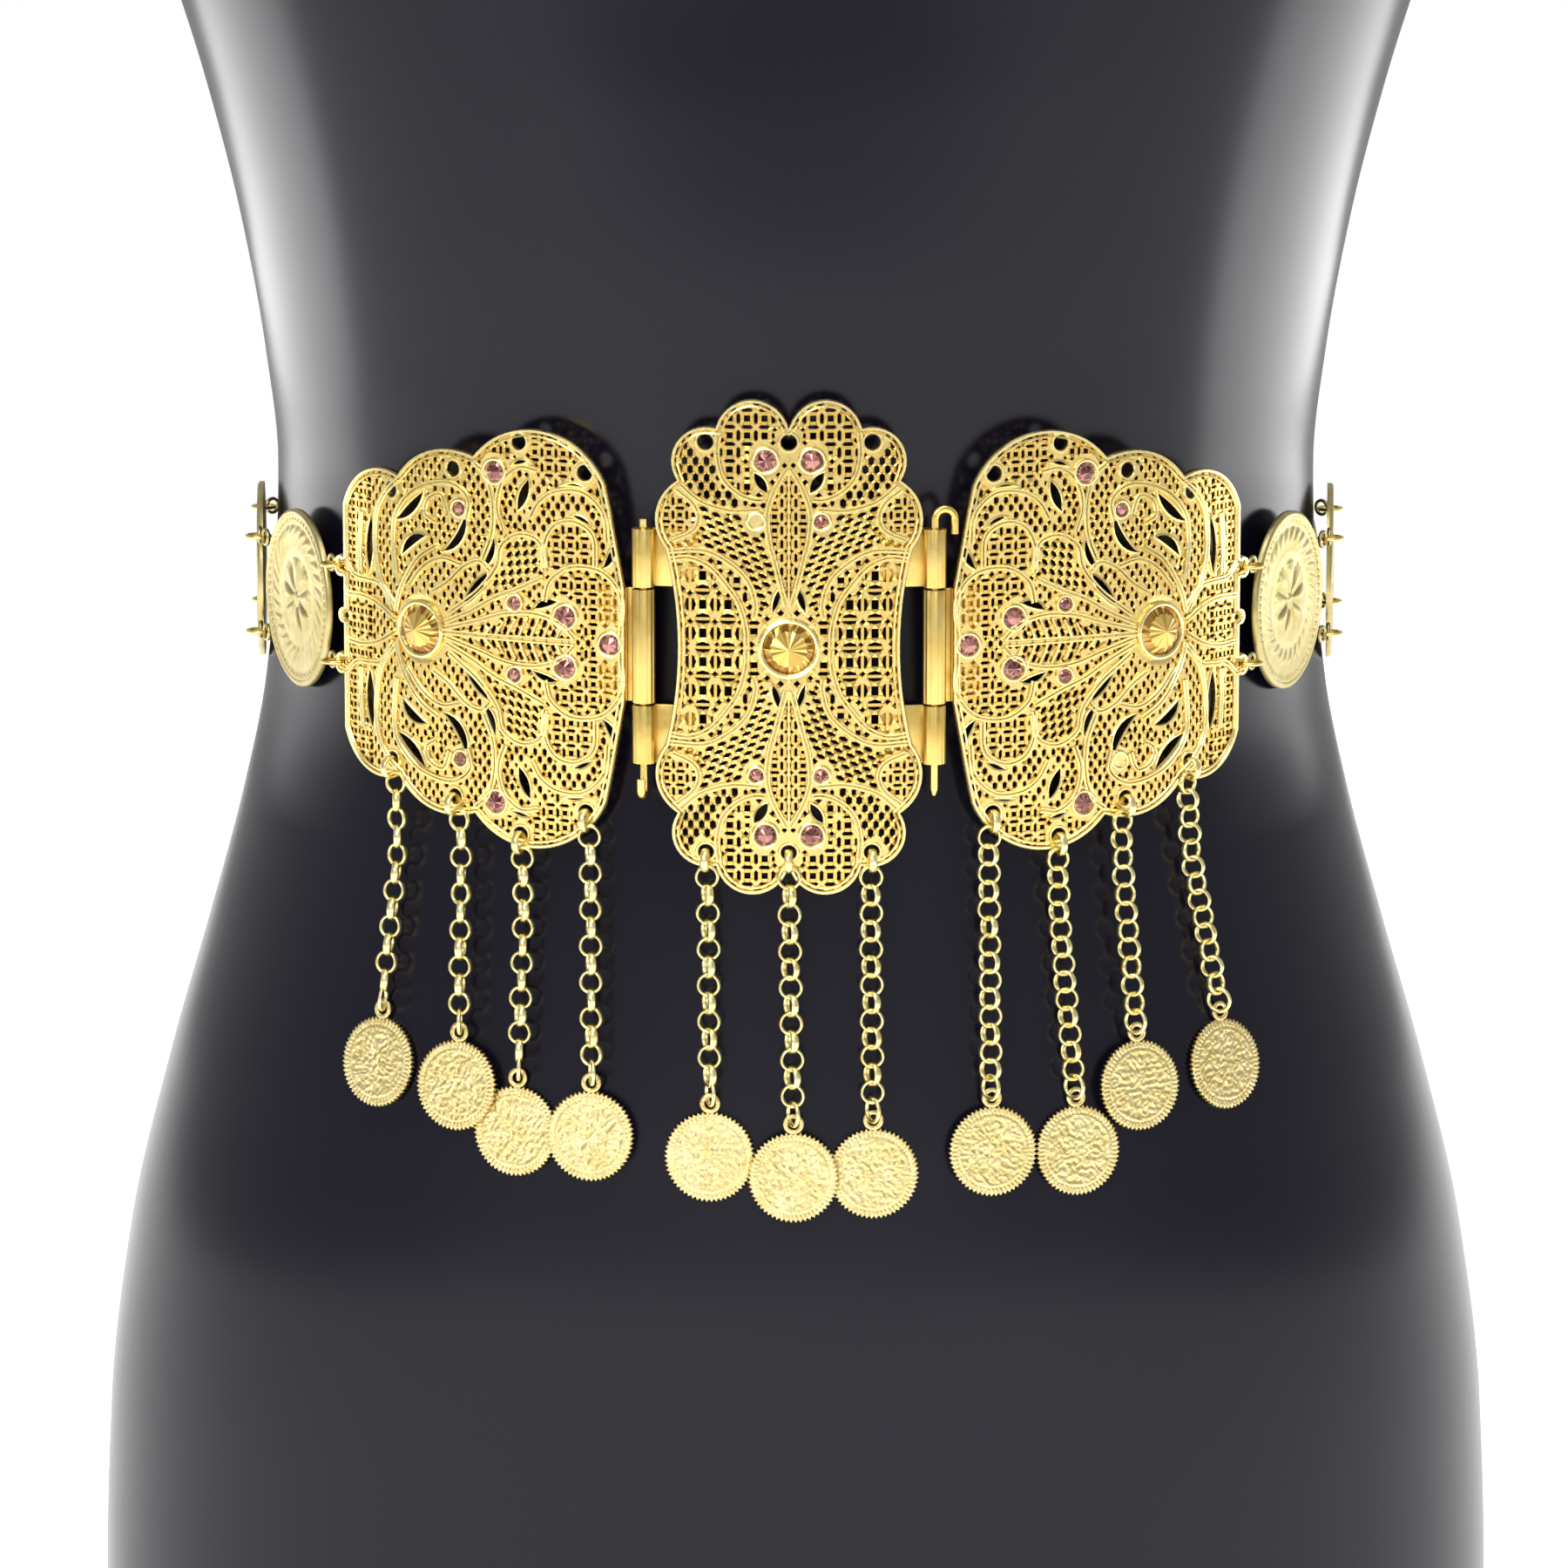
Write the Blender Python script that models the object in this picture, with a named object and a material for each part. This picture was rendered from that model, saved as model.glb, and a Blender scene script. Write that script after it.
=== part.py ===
"""Coin waist chain, fastened round a limbless dress form. Metres, +Z up, front towards -Y."""

import math
from collections import namedtuple

import bmesh
import bpy
import numpy as np
from mathutils import Matrix, Vector

MM = 0.001

# The dress form, a row for each height: half its width, and its reach to the front and back
FormRow = namedtuple("FormRow", "height half_width front back")
FORM_ROWS = [
    FormRow(0.000, 0.1560, 0.1220, 0.1045),
    FormRow(0.015, 0.1578, 0.1238, 0.1065),
    FormRow(0.060, 0.1562, 0.1242, 0.1080),
    FormRow(0.100, 0.1512, 0.1238, 0.1070),
    FormRow(0.140, 0.1416, 0.1212, 0.1000),
    FormRow(0.170, 0.1328, 0.1190, 0.0905),
    FormRow(0.200, 0.1245, 0.1168, 0.0790),
    FormRow(0.225, 0.1192, 0.1146, 0.0710),
    FormRow(0.250, 0.1166, 0.1133, 0.0680),
    FormRow(0.275, 0.1158, 0.1130, 0.0675),
    FormRow(0.300, 0.1183, 0.1152, 0.0690),
    FormRow(0.330, 0.1235, 0.1180, 0.0730),
    FormRow(0.360, 0.1309, 0.1200, 0.0775),
    FormRow(0.400, 0.1430, 0.1225, 0.0825),
    FormRow(0.425, 0.1490, 0.1285, 0.0872),
    FormRow(0.445, 0.1522, 0.1357, 0.0902),
    FormRow(0.462, 0.1541, 0.1380, 0.0922),
    FormRow(0.480, 0.1555, 0.1352, 0.0938),
    FormRow(0.500, 0.1569, 0.1275, 0.0952),
    FormRow(0.520, 0.1585, 0.1180, 0.0960),
    FormRow(0.560, 0.1620, 0.1000, 0.0940),
    FormRow(0.600, 0.1600, 0.0840, 0.0860),
    FormRow(0.625, 0.1400, 0.0720, 0.0760),
    FormRow(0.642, 0.0980, 0.0600, 0.0640),
    FormRow(0.655, 0.0640, 0.0510, 0.0530),
    FormRow(0.675, 0.0535, 0.0480, 0.0490),
    FormRow(0.697, 0.0520, 0.0470, 0.0480),
    FormRow(0.700, 0.0500, 0.0450, 0.0460),
]
FORM_SIDES = 40
FRAME_STEP = 0.0005

# The belt lies on the waist: each piece reaches this far above and below the belt's middle
BELT_HEIGHT = 0.250
CLEARANCE = 0.5 * MM
PLATE_REACH = 52.4 * MM
COIN_REACH = 20.0 * MM
PLATE_TURN = math.radians(30.0)
COIN_TURN = math.radians(70.0)
BEND_STEP = 10.0 * MM

SMOOTH_ANGLE = math.radians(35.0)
SEAM = 0.3 * MM
LEAF_WALL = 1.0 * MM
PLATE_WALL = 1.2 * MM
PLATE_BACK = LEAF_WALL + SEAM
PLATE_FRONT = PLATE_BACK + PLATE_WALL

# Hinges: a barrel round each pin, and a leaf that reaches behind the plate
PIN_AT = 30.3 * MM
PIN_RADIUS = 0.9 * MM
BARREL_RADIUS = 2.4 * MM
BARREL_BORE = 1.25 * MM
BARREL_SIDES = 10
BARREL_SPLIT = 12.1 * MM
BARREL_GAP = 0.5 * MM
BARREL_END = 25.0 * MM
CENTRE_LEAF_END = 19.0 * MM
SIDE_LEAF_END = 40.0 * MM
PIN_TIP = 27.0 * MM
PIN_TAIL = 30.5 * MM
PIN_HOOK = 2.1 * MM
PIN_HOOK_DROP = 3.2 * MM
PIN_BEND = 1.2 * MM
PIN_STEPS = 6

HOLE_RADIUS = 1.6 * MM
HOLE_SIDES = 6

# An outline's row is a corner and how far the edge from it to the next one bulges outwards
Corner = namedtuple("Corner", "u v bulge steps")
CENTRE_CORNERS = [
    Corner(0.0, 46.5, 6.1, 7),
    Corner(15.1, 46.6, 4.8, 5),
    Corner(23.2, 35.4, 3.4, 5),
    Corner(25.6, 20.8, 0.0, 1),
]
CENTRE_SIDE_BULGE = -2.5
CENTRE_SIDE_STEPS = 4
CENTRE_BEND = 28.0
SIDE_CORNERS = [
    Corner(34.2, 12.0, 0.0, 1),
    Corner(37.2, 28.4, 0.0, 1),
    Corner(38.4, 34.0, 8.6, 9),
    Corner(68.6, 38.4, 3.4, 5),
    Corner(89.1, 32.6, 4.2, 5),
    Corner(108.1, 24.4, 0.0, 1),
    Corner(108.1, 12.5, 3.9, 6),
    Corner(108.1, 8.7, 0.0, 1),
    Corner(108.1, 1.7, 0.0, 1),
]
NUB_BULGE = 2.3
NUB_STEPS = 5

# A gap is drawn from one tip to the other and back, with a bulge for each of its two edges
Gap = namedtuple("Gap", "u1 v1 u2 v2 out_bulge back_bulge")
CENTRE_GAPS = [
    Gap(1.5, 12.6, 2.9, 6.6, 0.5, 0.5),
    Gap(4.4, 33.4, 7.4, 37.6, 0.9, 0.9),
]
SIDE_GAPS = [
    Gap(97.8, 23.2, 98.7, 10.2, 1.0, 0.8),
    Gap(82.0, 29.6, 89.6, 24.0, 2.4, -0.8),
    Gap(81.4, 19.6, 87.8, 15.6, 2.0, -0.3),
    Gap(70.8, 25.6, 76.6, 17.6, -0.9, 2.5),
    Gap(64.0, 20.9, 65.8, 15.2, 1.1, 1.1),
    Gap(65.6, 13.1, 70.8, 6.5, 1.0, 1.1),
    Gap(55.7, 33.4, 58.0, 28.0, 0.9, 0.9),
    Gap(48.8, 7.6, 53.0, 6.4, 1.0, 0.6),
    Gap(36.4, 21.4, 39.2, 16.2, 0.2, 1.3),
]
GAP_STEPS = 3

Place = namedtuple("Place", "u v")
CENTRE_HOLES = [Place(-17.2, -43.6), Place(0.0, -43.6), Place(17.2, -43.6)]
SIDE_HOLES = [Place(42.9, -36.2), Place(57.8, -42.0), Place(73.8, -35.2), Place(91.2, -29.2)]

STONE_AT_SIDE = 82.7 * MM
STONE_RADIUS = 6.2 * MM
STONE_SIDES = 16
# The stone and its cup, as shares of the radius and heights in mm, from the top down
STONE_PROFILE = [(0.0, 3.2), (0.62, 2.5), (0.86, 2.0), (0.90, 2.6), (1.0, 2.3), (1.0, 0.0), (0.0, 0.0)]

# Big coins, hung lug to lug by rings that stand level
BIG_COIN_RADIUS = 19.5 * MM
BIG_COIN_WALL = 1.2 * MM
BIG_COINS_A_SIDE = 5
BIG_RIM_STEP = math.radians(15.0)
LUG_STEPS = 4
LUG_HEIGHT = 10.6 * MM
LUG_HOLE_AT = 20.8 * MM
LUG_RADIUS = 1.95 * MM
LUG_HOLE = 1.35 * MM
LUG_HOLE_SIDES = 8
PLATE_LUG_AT = 110.1 * MM
RING_RADIUS = 2.5 * MM
RING_WIRE = 0.45 * MM
RING_SIDES = 10
RING_WIRE_SIDES = 4
# The coins are shifted along the belt in rounds, each by a share of what their rings differ
SPACING_ROUNDS = 300
SPACING_SHARE = 0.4

# Strands: the hole a strand hangs from, its drop to the coin's lug, how far that lug lies
# to the side of the hole, and whether its coin lies on the form or over its neighbours
Strand = namedtuple("Strand", "name u v drop sway layer")
STRANDS = [
    Strand("strand_01", -91.2, -29.2, 53.8, 5.1, 0),
    Strand("strand_02", -73.8, -35.2, 50.3, 7.6, 1),
    Strand("strand_03", -57.8, -42.0, 52.1, 4.9, 0),
    Strand("strand_04", -42.9, -36.2, 57.6, 5.6, 1),
    Strand("strand_05", -17.2, -43.6, 53.7, 2.6, 0),
    Strand("strand_06", 0.0, -43.6, 57.7, 1.0, 1),
    Strand("strand_07", 17.2, -43.6, 57.2, -1.5, 0),
    Strand("strand_08", 42.9, -36.2, 60.6, -4.8, 1),
    Strand("strand_09", 57.8, -42.0, 56.1, -2.1, 0),
    Strand("strand_10", 73.8, -35.2, 50.3, -3.7, 1),
    Strand("strand_11", 91.2, -29.2, 54.5, 0.7, 0),
]
FIRST_LINK = 2.1 * MM
LINK_PITCH = 3.6 * MM
LINK_HALF_WIDTH = 2.45 * MM
LINK_HALF_LENGTH = 1.1 * MM
WIRE_HALF = 0.5 * MM
SMALL_COIN_RADIUS = 9.75 * MM
SMALL_COIN_WALL = 1.0 * MM
SMALL_LUG_RADIUS = 2.2 * MM
SMALL_LUG_AT = 11.7 * MM
SMALL_LUG_HALF_ROOT = 1.9 * MM
SMALL_RIM_STEP = math.radians(20.0)
CHAIN_CLEARANCE = 0.1 * MM
LAYER_STEP = 1.4 * MM

COLOURS = {
    "plastic": ((0.012, 0.012, 0.018), 0.18, 0.0),
    "gold": ((0.90, 0.62, 0.14), 0.22, 1.0),
    "pale_gold": ((0.86, 0.72, 0.36), 0.36, 1.0),
    "amber": ((0.72, 0.36, 0.06), 0.06, 0.0),
}


def clear_scene():
    for old in list(bpy.data.objects):
        bpy.data.objects.remove(old, do_unlink=True)


def new_collection(name):
    collection = bpy.data.collections.new(name)
    bpy.context.scene.collection.children.link(collection)
    return collection


def new_material(name, colour, roughness, metallic):
    material = bpy.data.materials.new(name)
    material.use_nodes = True
    shader = material.node_tree.nodes["Principled BSDF"]
    shader.inputs["Base Color"].default_value = (*colour, 1.0)
    shader.inputs["Roughness"].default_value = roughness
    shader.inputs["Metallic"].default_value = metallic
    material.diffuse_color = (*colour, 1.0)
    return material


def add_object(name, mesh, finish, collection, smooth=True):
    """A named sub-part with its own material."""
    piece = bpy.data.objects.new(name, mesh)
    mesh.materials.clear()
    mesh.materials.append(new_material(name + "_" + finish, *COLOURS[finish]))
    if smooth:
        mesh.shade_smooth()
        mesh.set_sharp_from_angle(angle=SMOOTH_ANGLE)
    collection.objects.link(piece)
    return piece


def row_slopes(heights, values):
    """Slopes that keep a curve through the rows smooth and free of overshoot."""
    steps = np.diff(values) / np.diff(heights)
    slopes = np.zeros(len(values))
    slopes[0] = steps[0]
    slopes[-1] = steps[-1]
    same_way = steps[:-1] * steps[1:] > 0.0
    middle = np.zeros(len(steps) - 1)
    middle[same_way] = 2.0 / (1.0 / steps[:-1][same_way] + 1.0 / steps[1:][same_way])
    slopes[1:-1] = middle
    return slopes


FORM_HEIGHTS = np.array([row.height for row in FORM_ROWS])
FORM_VALUES = [np.array(column) for column in list(zip(*FORM_ROWS))[1:]]
FORM_SLOPES = [row_slopes(FORM_HEIGHTS, values) for values in FORM_VALUES]
# The form stands with the middle of its depth on the origin
FORM_SHIFT = 0.5 * (max(FORM_VALUES[1]) - max(FORM_VALUES[2]))


def form_size(height):
    """Half width, front reach and back reach at a height."""
    index = int(np.clip(np.searchsorted(FORM_HEIGHTS, height) - 1, 0, len(FORM_HEIGHTS) - 2))
    step = FORM_HEIGHTS[index + 1] - FORM_HEIGHTS[index]
    t = (height - FORM_HEIGHTS[index]) / step
    sizes = []
    for values, slopes in zip(FORM_VALUES, FORM_SLOPES):
        start = values[index] * (1 + 2 * t) * (1 - t) ** 2 + slopes[index] * step * t * (1 - t) ** 2
        end = values[index + 1] * t * t * (3 - 2 * t) + slopes[index + 1] * step * t * t * (t - 1)
        sizes.append(start + end)
    return sizes


def form_ring(height, turn):
    """A point of the form's surface; the turn is 0 at the front and grows towards +X."""
    half_width, front, back = form_size(height)
    reach = front if math.cos(turn) > 0.0 else back
    return Vector((half_width * math.sin(turn), FORM_SHIFT - reach * math.cos(turn), height))


def frame_from(surface, turn, height):
    """Tangent, up and outward directions of a surface, from two short steps along it."""
    step = FRAME_STEP
    tangent = (surface(turn + step, height) - surface(turn - step, height)).normalized()
    up = (surface(turn, height + step) - surface(turn, height - step)).normalized()
    normal = tangent.cross(up).normalized()
    return tangent, up, normal


def form_point(turn, height, out):
    """A point at a distance off the form's surface."""
    normal = frame_from(lambda a, h: form_ring(h, a), turn, height)[2]
    return form_ring(height, turn) + normal * out


def belt_surface(turn, v):
    """The belt's back: each piece stands upright on the form's section at its own low end."""
    share = min(max((abs(turn) - PLATE_TURN) / (COIN_TURN - PLATE_TURN), 0.0), 1.0)
    share = share * share * (3.0 - 2.0 * share)
    reach = PLATE_REACH + (COIN_REACH - PLATE_REACH) * share
    foot = form_ring(BELT_HEIGHT - reach, turn)
    return Vector((foot.x, foot.y, BELT_HEIGHT + v))


def belt_frame(turn):
    tangent, up, normal = frame_from(belt_surface, turn, 0.0)
    return belt_surface(turn, 0.0) + normal * CLEARANCE, tangent, up, normal


def belt_lengths(steps=720):
    """The turn at each length along the belt, from the middle of the front to the back."""
    turns = [math.pi * index / steps for index in range(steps + 1)]
    points = [belt_frame(turn)[0] for turn in turns]
    lengths = [0.0]
    for first, second in zip(points, points[1:]):
        lengths.append(lengths[-1] + (second - first).length)
    return lengths, turns


BELT_LENGTHS, BELT_TURNS = belt_lengths()


def turn_at(u):
    return math.copysign(float(np.interp(abs(u), BELT_LENGTHS, BELT_TURNS)), u)


def belt_point(u, v, out):
    """A point u along the belt from the front, v above its middle and out from its back."""
    turn = turn_at(u)
    normal = frame_from(belt_surface, turn, v)[2]
    return belt_surface(turn, v) + normal * (CLEARANCE + out)


def arc(start, end, bulge, steps):
    """Points from start up to end, which is left out, bulging to the left of the way."""
    if steps == 1 or bulge == 0.0:
        return [Vector(start)]
    start = Vector(start)
    chord = Vector(end) - start
    half = chord.length / 2.0
    along = chord.normalized()
    left = Vector((-along.y, along.x))
    radius = (half * half + bulge * bulge) / (2.0 * bulge)
    angle = 2.0 * math.atan(bulge / half)
    middle = start + chord / 2.0
    points = []
    for index in range(steps):
        swing = angle * (2.0 * index / steps - 1.0)
        rise = radius * math.cos(swing) - (radius - bulge)
        points.append(middle + along * radius * math.sin(swing) + left * rise)
    return points


def circle(centre, radius, sides, start=0.0):
    points = []
    for index in range(sides):
        angle = start + 2.0 * math.pi * index / sides
        points.append(Vector(centre) + Vector((math.cos(angle), math.sin(angle))) * radius)
    return points


def through_corners(corners, scale=MM):
    points = []
    for first, second in zip(corners, corners[1:]):
        start = Vector((first.u, first.v)) * scale
        end = Vector((second.u, second.v)) * scale
        points += arc(start, end, first.bulge * scale, first.steps)
    last = corners[-1]
    points.append(Vector((last.u, last.v)) * scale)
    return points


def flipped(points, u=1.0, v=1.0):
    return [Vector((point.x * u, point.y * v)) for point in reversed(points)]


def centre_outline():
    top = through_corners(CENTRE_CORNERS)
    last = CENTRE_CORNERS[-1]
    side = arc(top[-1], (last.u * MM, -last.v * MM), CENTRE_SIDE_BULGE * MM,
               CENTRE_SIDE_STEPS)
    right = top + side[1:] + flipped(top, v=-1.0)
    return right + flipped(right, u=-1.0)[1:-1]


def side_outline():
    top = through_corners(SIDE_CORNERS)
    last = SIDE_CORNERS[-1]
    nub = arc(top[-1], (last.u * MM, -last.v * MM), NUB_BULGE * MM, NUB_STEPS)
    return top + nub[1:] + flipped(top, v=-1.0)


def gap_outline(gap):
    start = Vector((gap.u1, gap.v1)) * MM
    end = Vector((gap.u2, gap.v2)) * MM
    outward = arc(start, end, gap.out_bulge * MM, GAP_STEPS)
    return outward + arc(end, start, gap.back_bulge * MM, GAP_STEPS)


def four_ways(outline):
    both = [outline, flipped(outline, v=-1.0)]
    return both + [flipped(points, u=-1.0) for points in both]


def face_out(shape):
    """Turns a closed shape's faces outwards."""
    bmesh.ops.recalc_face_normals(shape, faces=shape.faces)
    if shape.calc_volume(signed=True) < 0.0:
        bmesh.ops.reverse_faces(shape, faces=shape.faces)


def flat_mesh(name, outlines, wall, cuts=()):
    """A flat filled outline with its holes, given a wall and cut across where it will bend."""
    curve = bpy.data.curves.new(name, "CURVE")
    curve.dimensions = "2D"
    curve.fill_mode = "BOTH"
    curve.extrude = wall / 2.0
    for outline in outlines:
        spline = curve.splines.new("POLY")
        spline.points.add(len(outline) - 1)
        spline.use_cyclic_u = True
        for point, place in zip(spline.points, outline):
            point.co = (place.x, place.y, 0.0, 1.0)
    guide = bpy.data.objects.new(name, curve)
    bpy.context.scene.collection.objects.link(guide)
    depsgraph = bpy.context.evaluated_depsgraph_get()
    mesh = bpy.data.meshes.new_from_object(guide.evaluated_get(depsgraph))
    bpy.data.objects.remove(guide, do_unlink=True)
    shape = bmesh.new()
    shape.from_mesh(mesh)
    bmesh.ops.remove_doubles(shape, verts=shape.verts, dist=1e-6)
    bmesh.ops.translate(shape, verts=shape.verts, vec=(0.0, 0.0, wall / 2.0))
    bmesh.ops.dissolve_limit(shape, angle_limit=0.001, verts=shape.verts, edges=shape.edges)
    for cut in cuts:
        geometry = list(shape.verts) + list(shape.edges) + list(shape.faces)
        bmesh.ops.bisect_plane(shape, geom=geometry, dist=1e-7, plane_co=(cut, 0.0, 0.0),
                               plane_no=(1.0, 0.0, 0.0))
    bmesh.ops.triangulate(shape, faces=shape.faces)
    shape.to_mesh(mesh)
    shape.free()
    return mesh


def place_mesh(mesh, place):
    """Moves each point to where the rule puts it, and turns the faces outwards."""
    shape = bmesh.new()
    shape.from_mesh(mesh)
    for vertex in shape.verts:
        vertex.co = place(vertex.co)
    face_out(shape)
    shape.to_mesh(mesh)
    shape.free()
    return mesh


def bend_cuts(low, high):
    count = int(math.ceil((high - low) / BEND_STEP))
    return [low + (high - low) * index / count for index in range(1, count)]


def loft_mesh(name, rings):
    """A closed skin through rings with the same number of points."""
    shape = bmesh.new()
    rows = [[shape.verts.new(point) for point in ring] for ring in rings]
    sides = len(rings[0])
    for lower, upper in zip(rows, rows[1:]):
        for index in range(sides):
            after = (index + 1) % sides
            shape.faces.new((lower[index], lower[after], upper[after], upper[index]))
    shape.faces.new(list(reversed(rows[0])))
    shape.faces.new(rows[-1])
    bmesh.ops.triangulate(shape, faces=shape.faces)
    face_out(shape)
    mesh = bpy.data.meshes.new(name)
    shape.to_mesh(mesh)
    shape.free()
    return mesh


def make_form(collection):
    turns = [2.0 * math.pi * index / FORM_SIDES for index in range(FORM_SIDES)]
    rings = [[form_ring(row.height, turn) for turn in turns] for row in FORM_ROWS]
    add_object("dress_form", loft_mesh("dress_form", rings), "plastic", collection)


def make_plates(collection):
    outlines = [centre_outline()]
    for gap in CENTRE_GAPS:
        outlines += four_ways(gap_outline(gap))
    for hole in CENTRE_HOLES:
        for v in (hole.v, -hole.v):
            outlines.append(circle((hole.u * MM, v * MM), HOLE_RADIUS, HOLE_SIDES))
    mesh = flat_mesh("plate_centre", outlines, PLATE_WALL, bend_cuts(-CENTRE_BEND * MM, CENTRE_BEND * MM))
    place_mesh(mesh, lambda co: belt_point(co.x, co.y, PLATE_BACK + co.z))
    add_object("plate_centre", mesh, "gold", collection, smooth=False)

    low, high = SIDE_CORNERS[0].u, SIDE_CORNERS[-1].u
    for name, way in (("plate_left", -1.0), ("plate_right", 1.0)):
        outlines = [side_outline()]
        for gap in SIDE_GAPS:
            outlines += four_ways(gap_outline(gap))[:2]
        for hole in SIDE_HOLES:
            for v in (hole.v, -hole.v):
                outlines.append(circle((hole.u * MM, v * MM), HOLE_RADIUS, HOLE_SIDES))
        for v in (LUG_HEIGHT, -LUG_HEIGHT):
            outlines.append(circle((PLATE_LUG_AT, v), LUG_HOLE, LUG_HOLE_SIDES))
        mesh = flat_mesh(name, outlines, PLATE_WALL, bend_cuts(low * MM, high * MM))
        place_mesh(mesh, lambda co, way=way: belt_point(way * co.x, co.y, PLATE_BACK + co.z))
        add_object(name, mesh, "gold", collection, smooth=False)


def leaf_outline(end):
    """A barrel's section with its leaf, in length along the belt and height off its back."""
    way = math.copysign(1.0, end - PIN_AT)
    last = math.pi + math.asin((BARREL_RADIUS - LEAF_WALL) / BARREL_RADIUS)
    points = [Vector((end, LEAF_WALL)), Vector((end, 0.0))]
    for index in range(BARREL_SIDES + 1):
        angle = -math.pi / 2.0 + (last + math.pi / 2.0) * index / BARREL_SIDES
        across = -way * math.cos(angle)
        points.append(Vector((PIN_AT + across * BARREL_RADIUS,
                              BARREL_RADIUS * (1.0 + math.sin(angle)))))
    return points


def make_hinges(collection):
    bore = circle((PIN_AT, BARREL_RADIUS), BARREL_BORE, BARREL_SIDES)
    spans = [
        ("upper", CENTRE_LEAF_END, BARREL_SPLIT + BARREL_GAP, BARREL_END),
        ("lower", CENTRE_LEAF_END, -BARREL_END, -BARREL_SPLIT - BARREL_GAP),
        ("middle", SIDE_LEAF_END, -BARREL_SPLIT, BARREL_SPLIT),
    ]
    for side, way in (("left", -1.0), ("right", 1.0)):
        for part, end, low, high in spans:
            name = "hinge_" + side + "_" + part
            mesh = flat_mesh(name, [leaf_outline(end), bore], high - low)
            place_mesh(mesh, lambda co, way=way, low=low: belt_point(way * co.x, low + co.z, co.y))
            add_object(name, mesh, "gold", collection)


def wire_mesh(name, points, radius):
    """A round wire with closed ends, as one mesh."""
    curve = bpy.data.curves.new(name, "CURVE")
    curve.dimensions = "3D"
    curve.bevel_depth = radius
    curve.bevel_resolution = 2
    curve.use_fill_caps = True
    spline = curve.splines.new("POLY")
    spline.points.add(len(points) - 1)
    for point, place in zip(spline.points, points):
        point.co = (*place, 1.0)
    guide = bpy.data.objects.new(name, curve)
    bpy.context.scene.collection.objects.link(guide)
    depsgraph = bpy.context.evaluated_depsgraph_get()
    mesh = bpy.data.meshes.new_from_object(guide.evaluated_get(depsgraph))
    bpy.data.objects.remove(guide, do_unlink=True)
    shape = bmesh.new()
    shape.from_mesh(mesh)
    bmesh.ops.remove_doubles(shape, verts=shape.verts, dist=1e-6)
    face_out(shape)
    shape.to_mesh(mesh)
    shape.free()
    return mesh


def make_pins(collection):
    # The closing pin has a finger hook on top; the other is bent back on itself, outwards, below
    height = BARREL_RADIUS
    hook = [(PIN_AT, -PIN_TAIL, height), (PIN_AT, PIN_TIP, height)]
    bent = [(-PIN_AT, PIN_TIP, height), (-PIN_AT, -PIN_TAIL, height)]
    for index in range(1, PIN_STEPS + 1):
        angle = math.pi * index / PIN_STEPS
        across, along = 1.0 - math.cos(angle), math.sin(angle)
        hook.append((PIN_AT + PIN_HOOK * across, PIN_TIP + PIN_HOOK * along, height))
        bent.append((-PIN_AT, -PIN_TAIL - PIN_BEND * along, height + PIN_BEND * across))
    hook.append((PIN_AT + 2.0 * PIN_HOOK, PIN_TIP - PIN_HOOK_DROP, height))
    bent.append((-PIN_AT, -PIN_TAIL + 2.0 * PIN_BEND, height + 2.0 * PIN_BEND))
    for name, route in (("pin_closing", hook), ("pin_fixed", bent)):
        points = [belt_point(*place) for place in route]
        add_object(name, wire_mesh(name, points, PIN_RADIUS), "gold", collection)


def turned_mesh(name, profile, sides):
    """A solid of revolution, from a profile that runs down its outer side from top to bottom."""
    shape = bmesh.new()
    vertices = [shape.verts.new((radius, 0.0, height)) for radius, height in profile]
    for first, second in zip(vertices, vertices[1:]):
        shape.edges.new((first, second))
    bmesh.ops.spin(shape, geom=list(shape.verts) + list(shape.edges), cent=(0.0, 0.0, 0.0),
                   axis=(0.0, 0.0, 1.0), angle=2.0 * math.pi, steps=sides, use_merge=True)
    bmesh.ops.remove_doubles(shape, verts=shape.verts, dist=1e-6)
    face_out(shape)
    mesh = bpy.data.meshes.new(name)
    shape.to_mesh(mesh)
    shape.free()
    return mesh


def placed_on(point, tangent, up, normal):
    """A rule that lays a flat piece on a surface, its own +Z pointing out."""
    axes = Matrix((tangent, up, normal)).transposed()
    return lambda co: point + axes @ co


def make_stones(collection):
    profile = [(share * STONE_RADIUS, height * MM) for share, height in STONE_PROFILE]
    places = [("stone_left", -STONE_AT_SIDE), ("stone_centre", 0.0), ("stone_right", STONE_AT_SIDE)]
    for name, u in places:
        mesh = turned_mesh(name, profile, STONE_SIDES)
        base, tangent, up, normal = belt_frame(turn_at(u))
        place_mesh(mesh, placed_on(base + normal * (PLATE_FRONT + SEAM), tangent, up, normal))
        add_object(name, mesh, "amber", collection)


Lug = namedtuple("Lug", "rim_start rim_end centre radius direction")


def coin_outline(radius, lugs, rim_step):
    """A disc's outline that runs out round each lug and back to the rim."""
    points = []
    for lug, following in zip(lugs, lugs[1:] + lugs[:1]):
        points.append(Vector((math.cos(lug.rim_start), math.sin(lug.rim_start))) * radius)
        for index in range(LUG_STEPS + 1):
            angle = lug.direction + math.pi * (index / LUG_STEPS - 0.5)
            offset = Vector((math.cos(angle), math.sin(angle))) * lug.radius
            points.append(Vector(lug.centre) + offset)
        end = following.rim_start
        if end <= lug.rim_end:
            end += 2.0 * math.pi
        steps = max(1, round((end - lug.rim_end) / rim_step))
        for index in range(steps):
            angle = lug.rim_end + (end - lug.rim_end) * index / steps
            points.append(Vector((math.cos(angle), math.sin(angle))) * radius)
    return points


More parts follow.
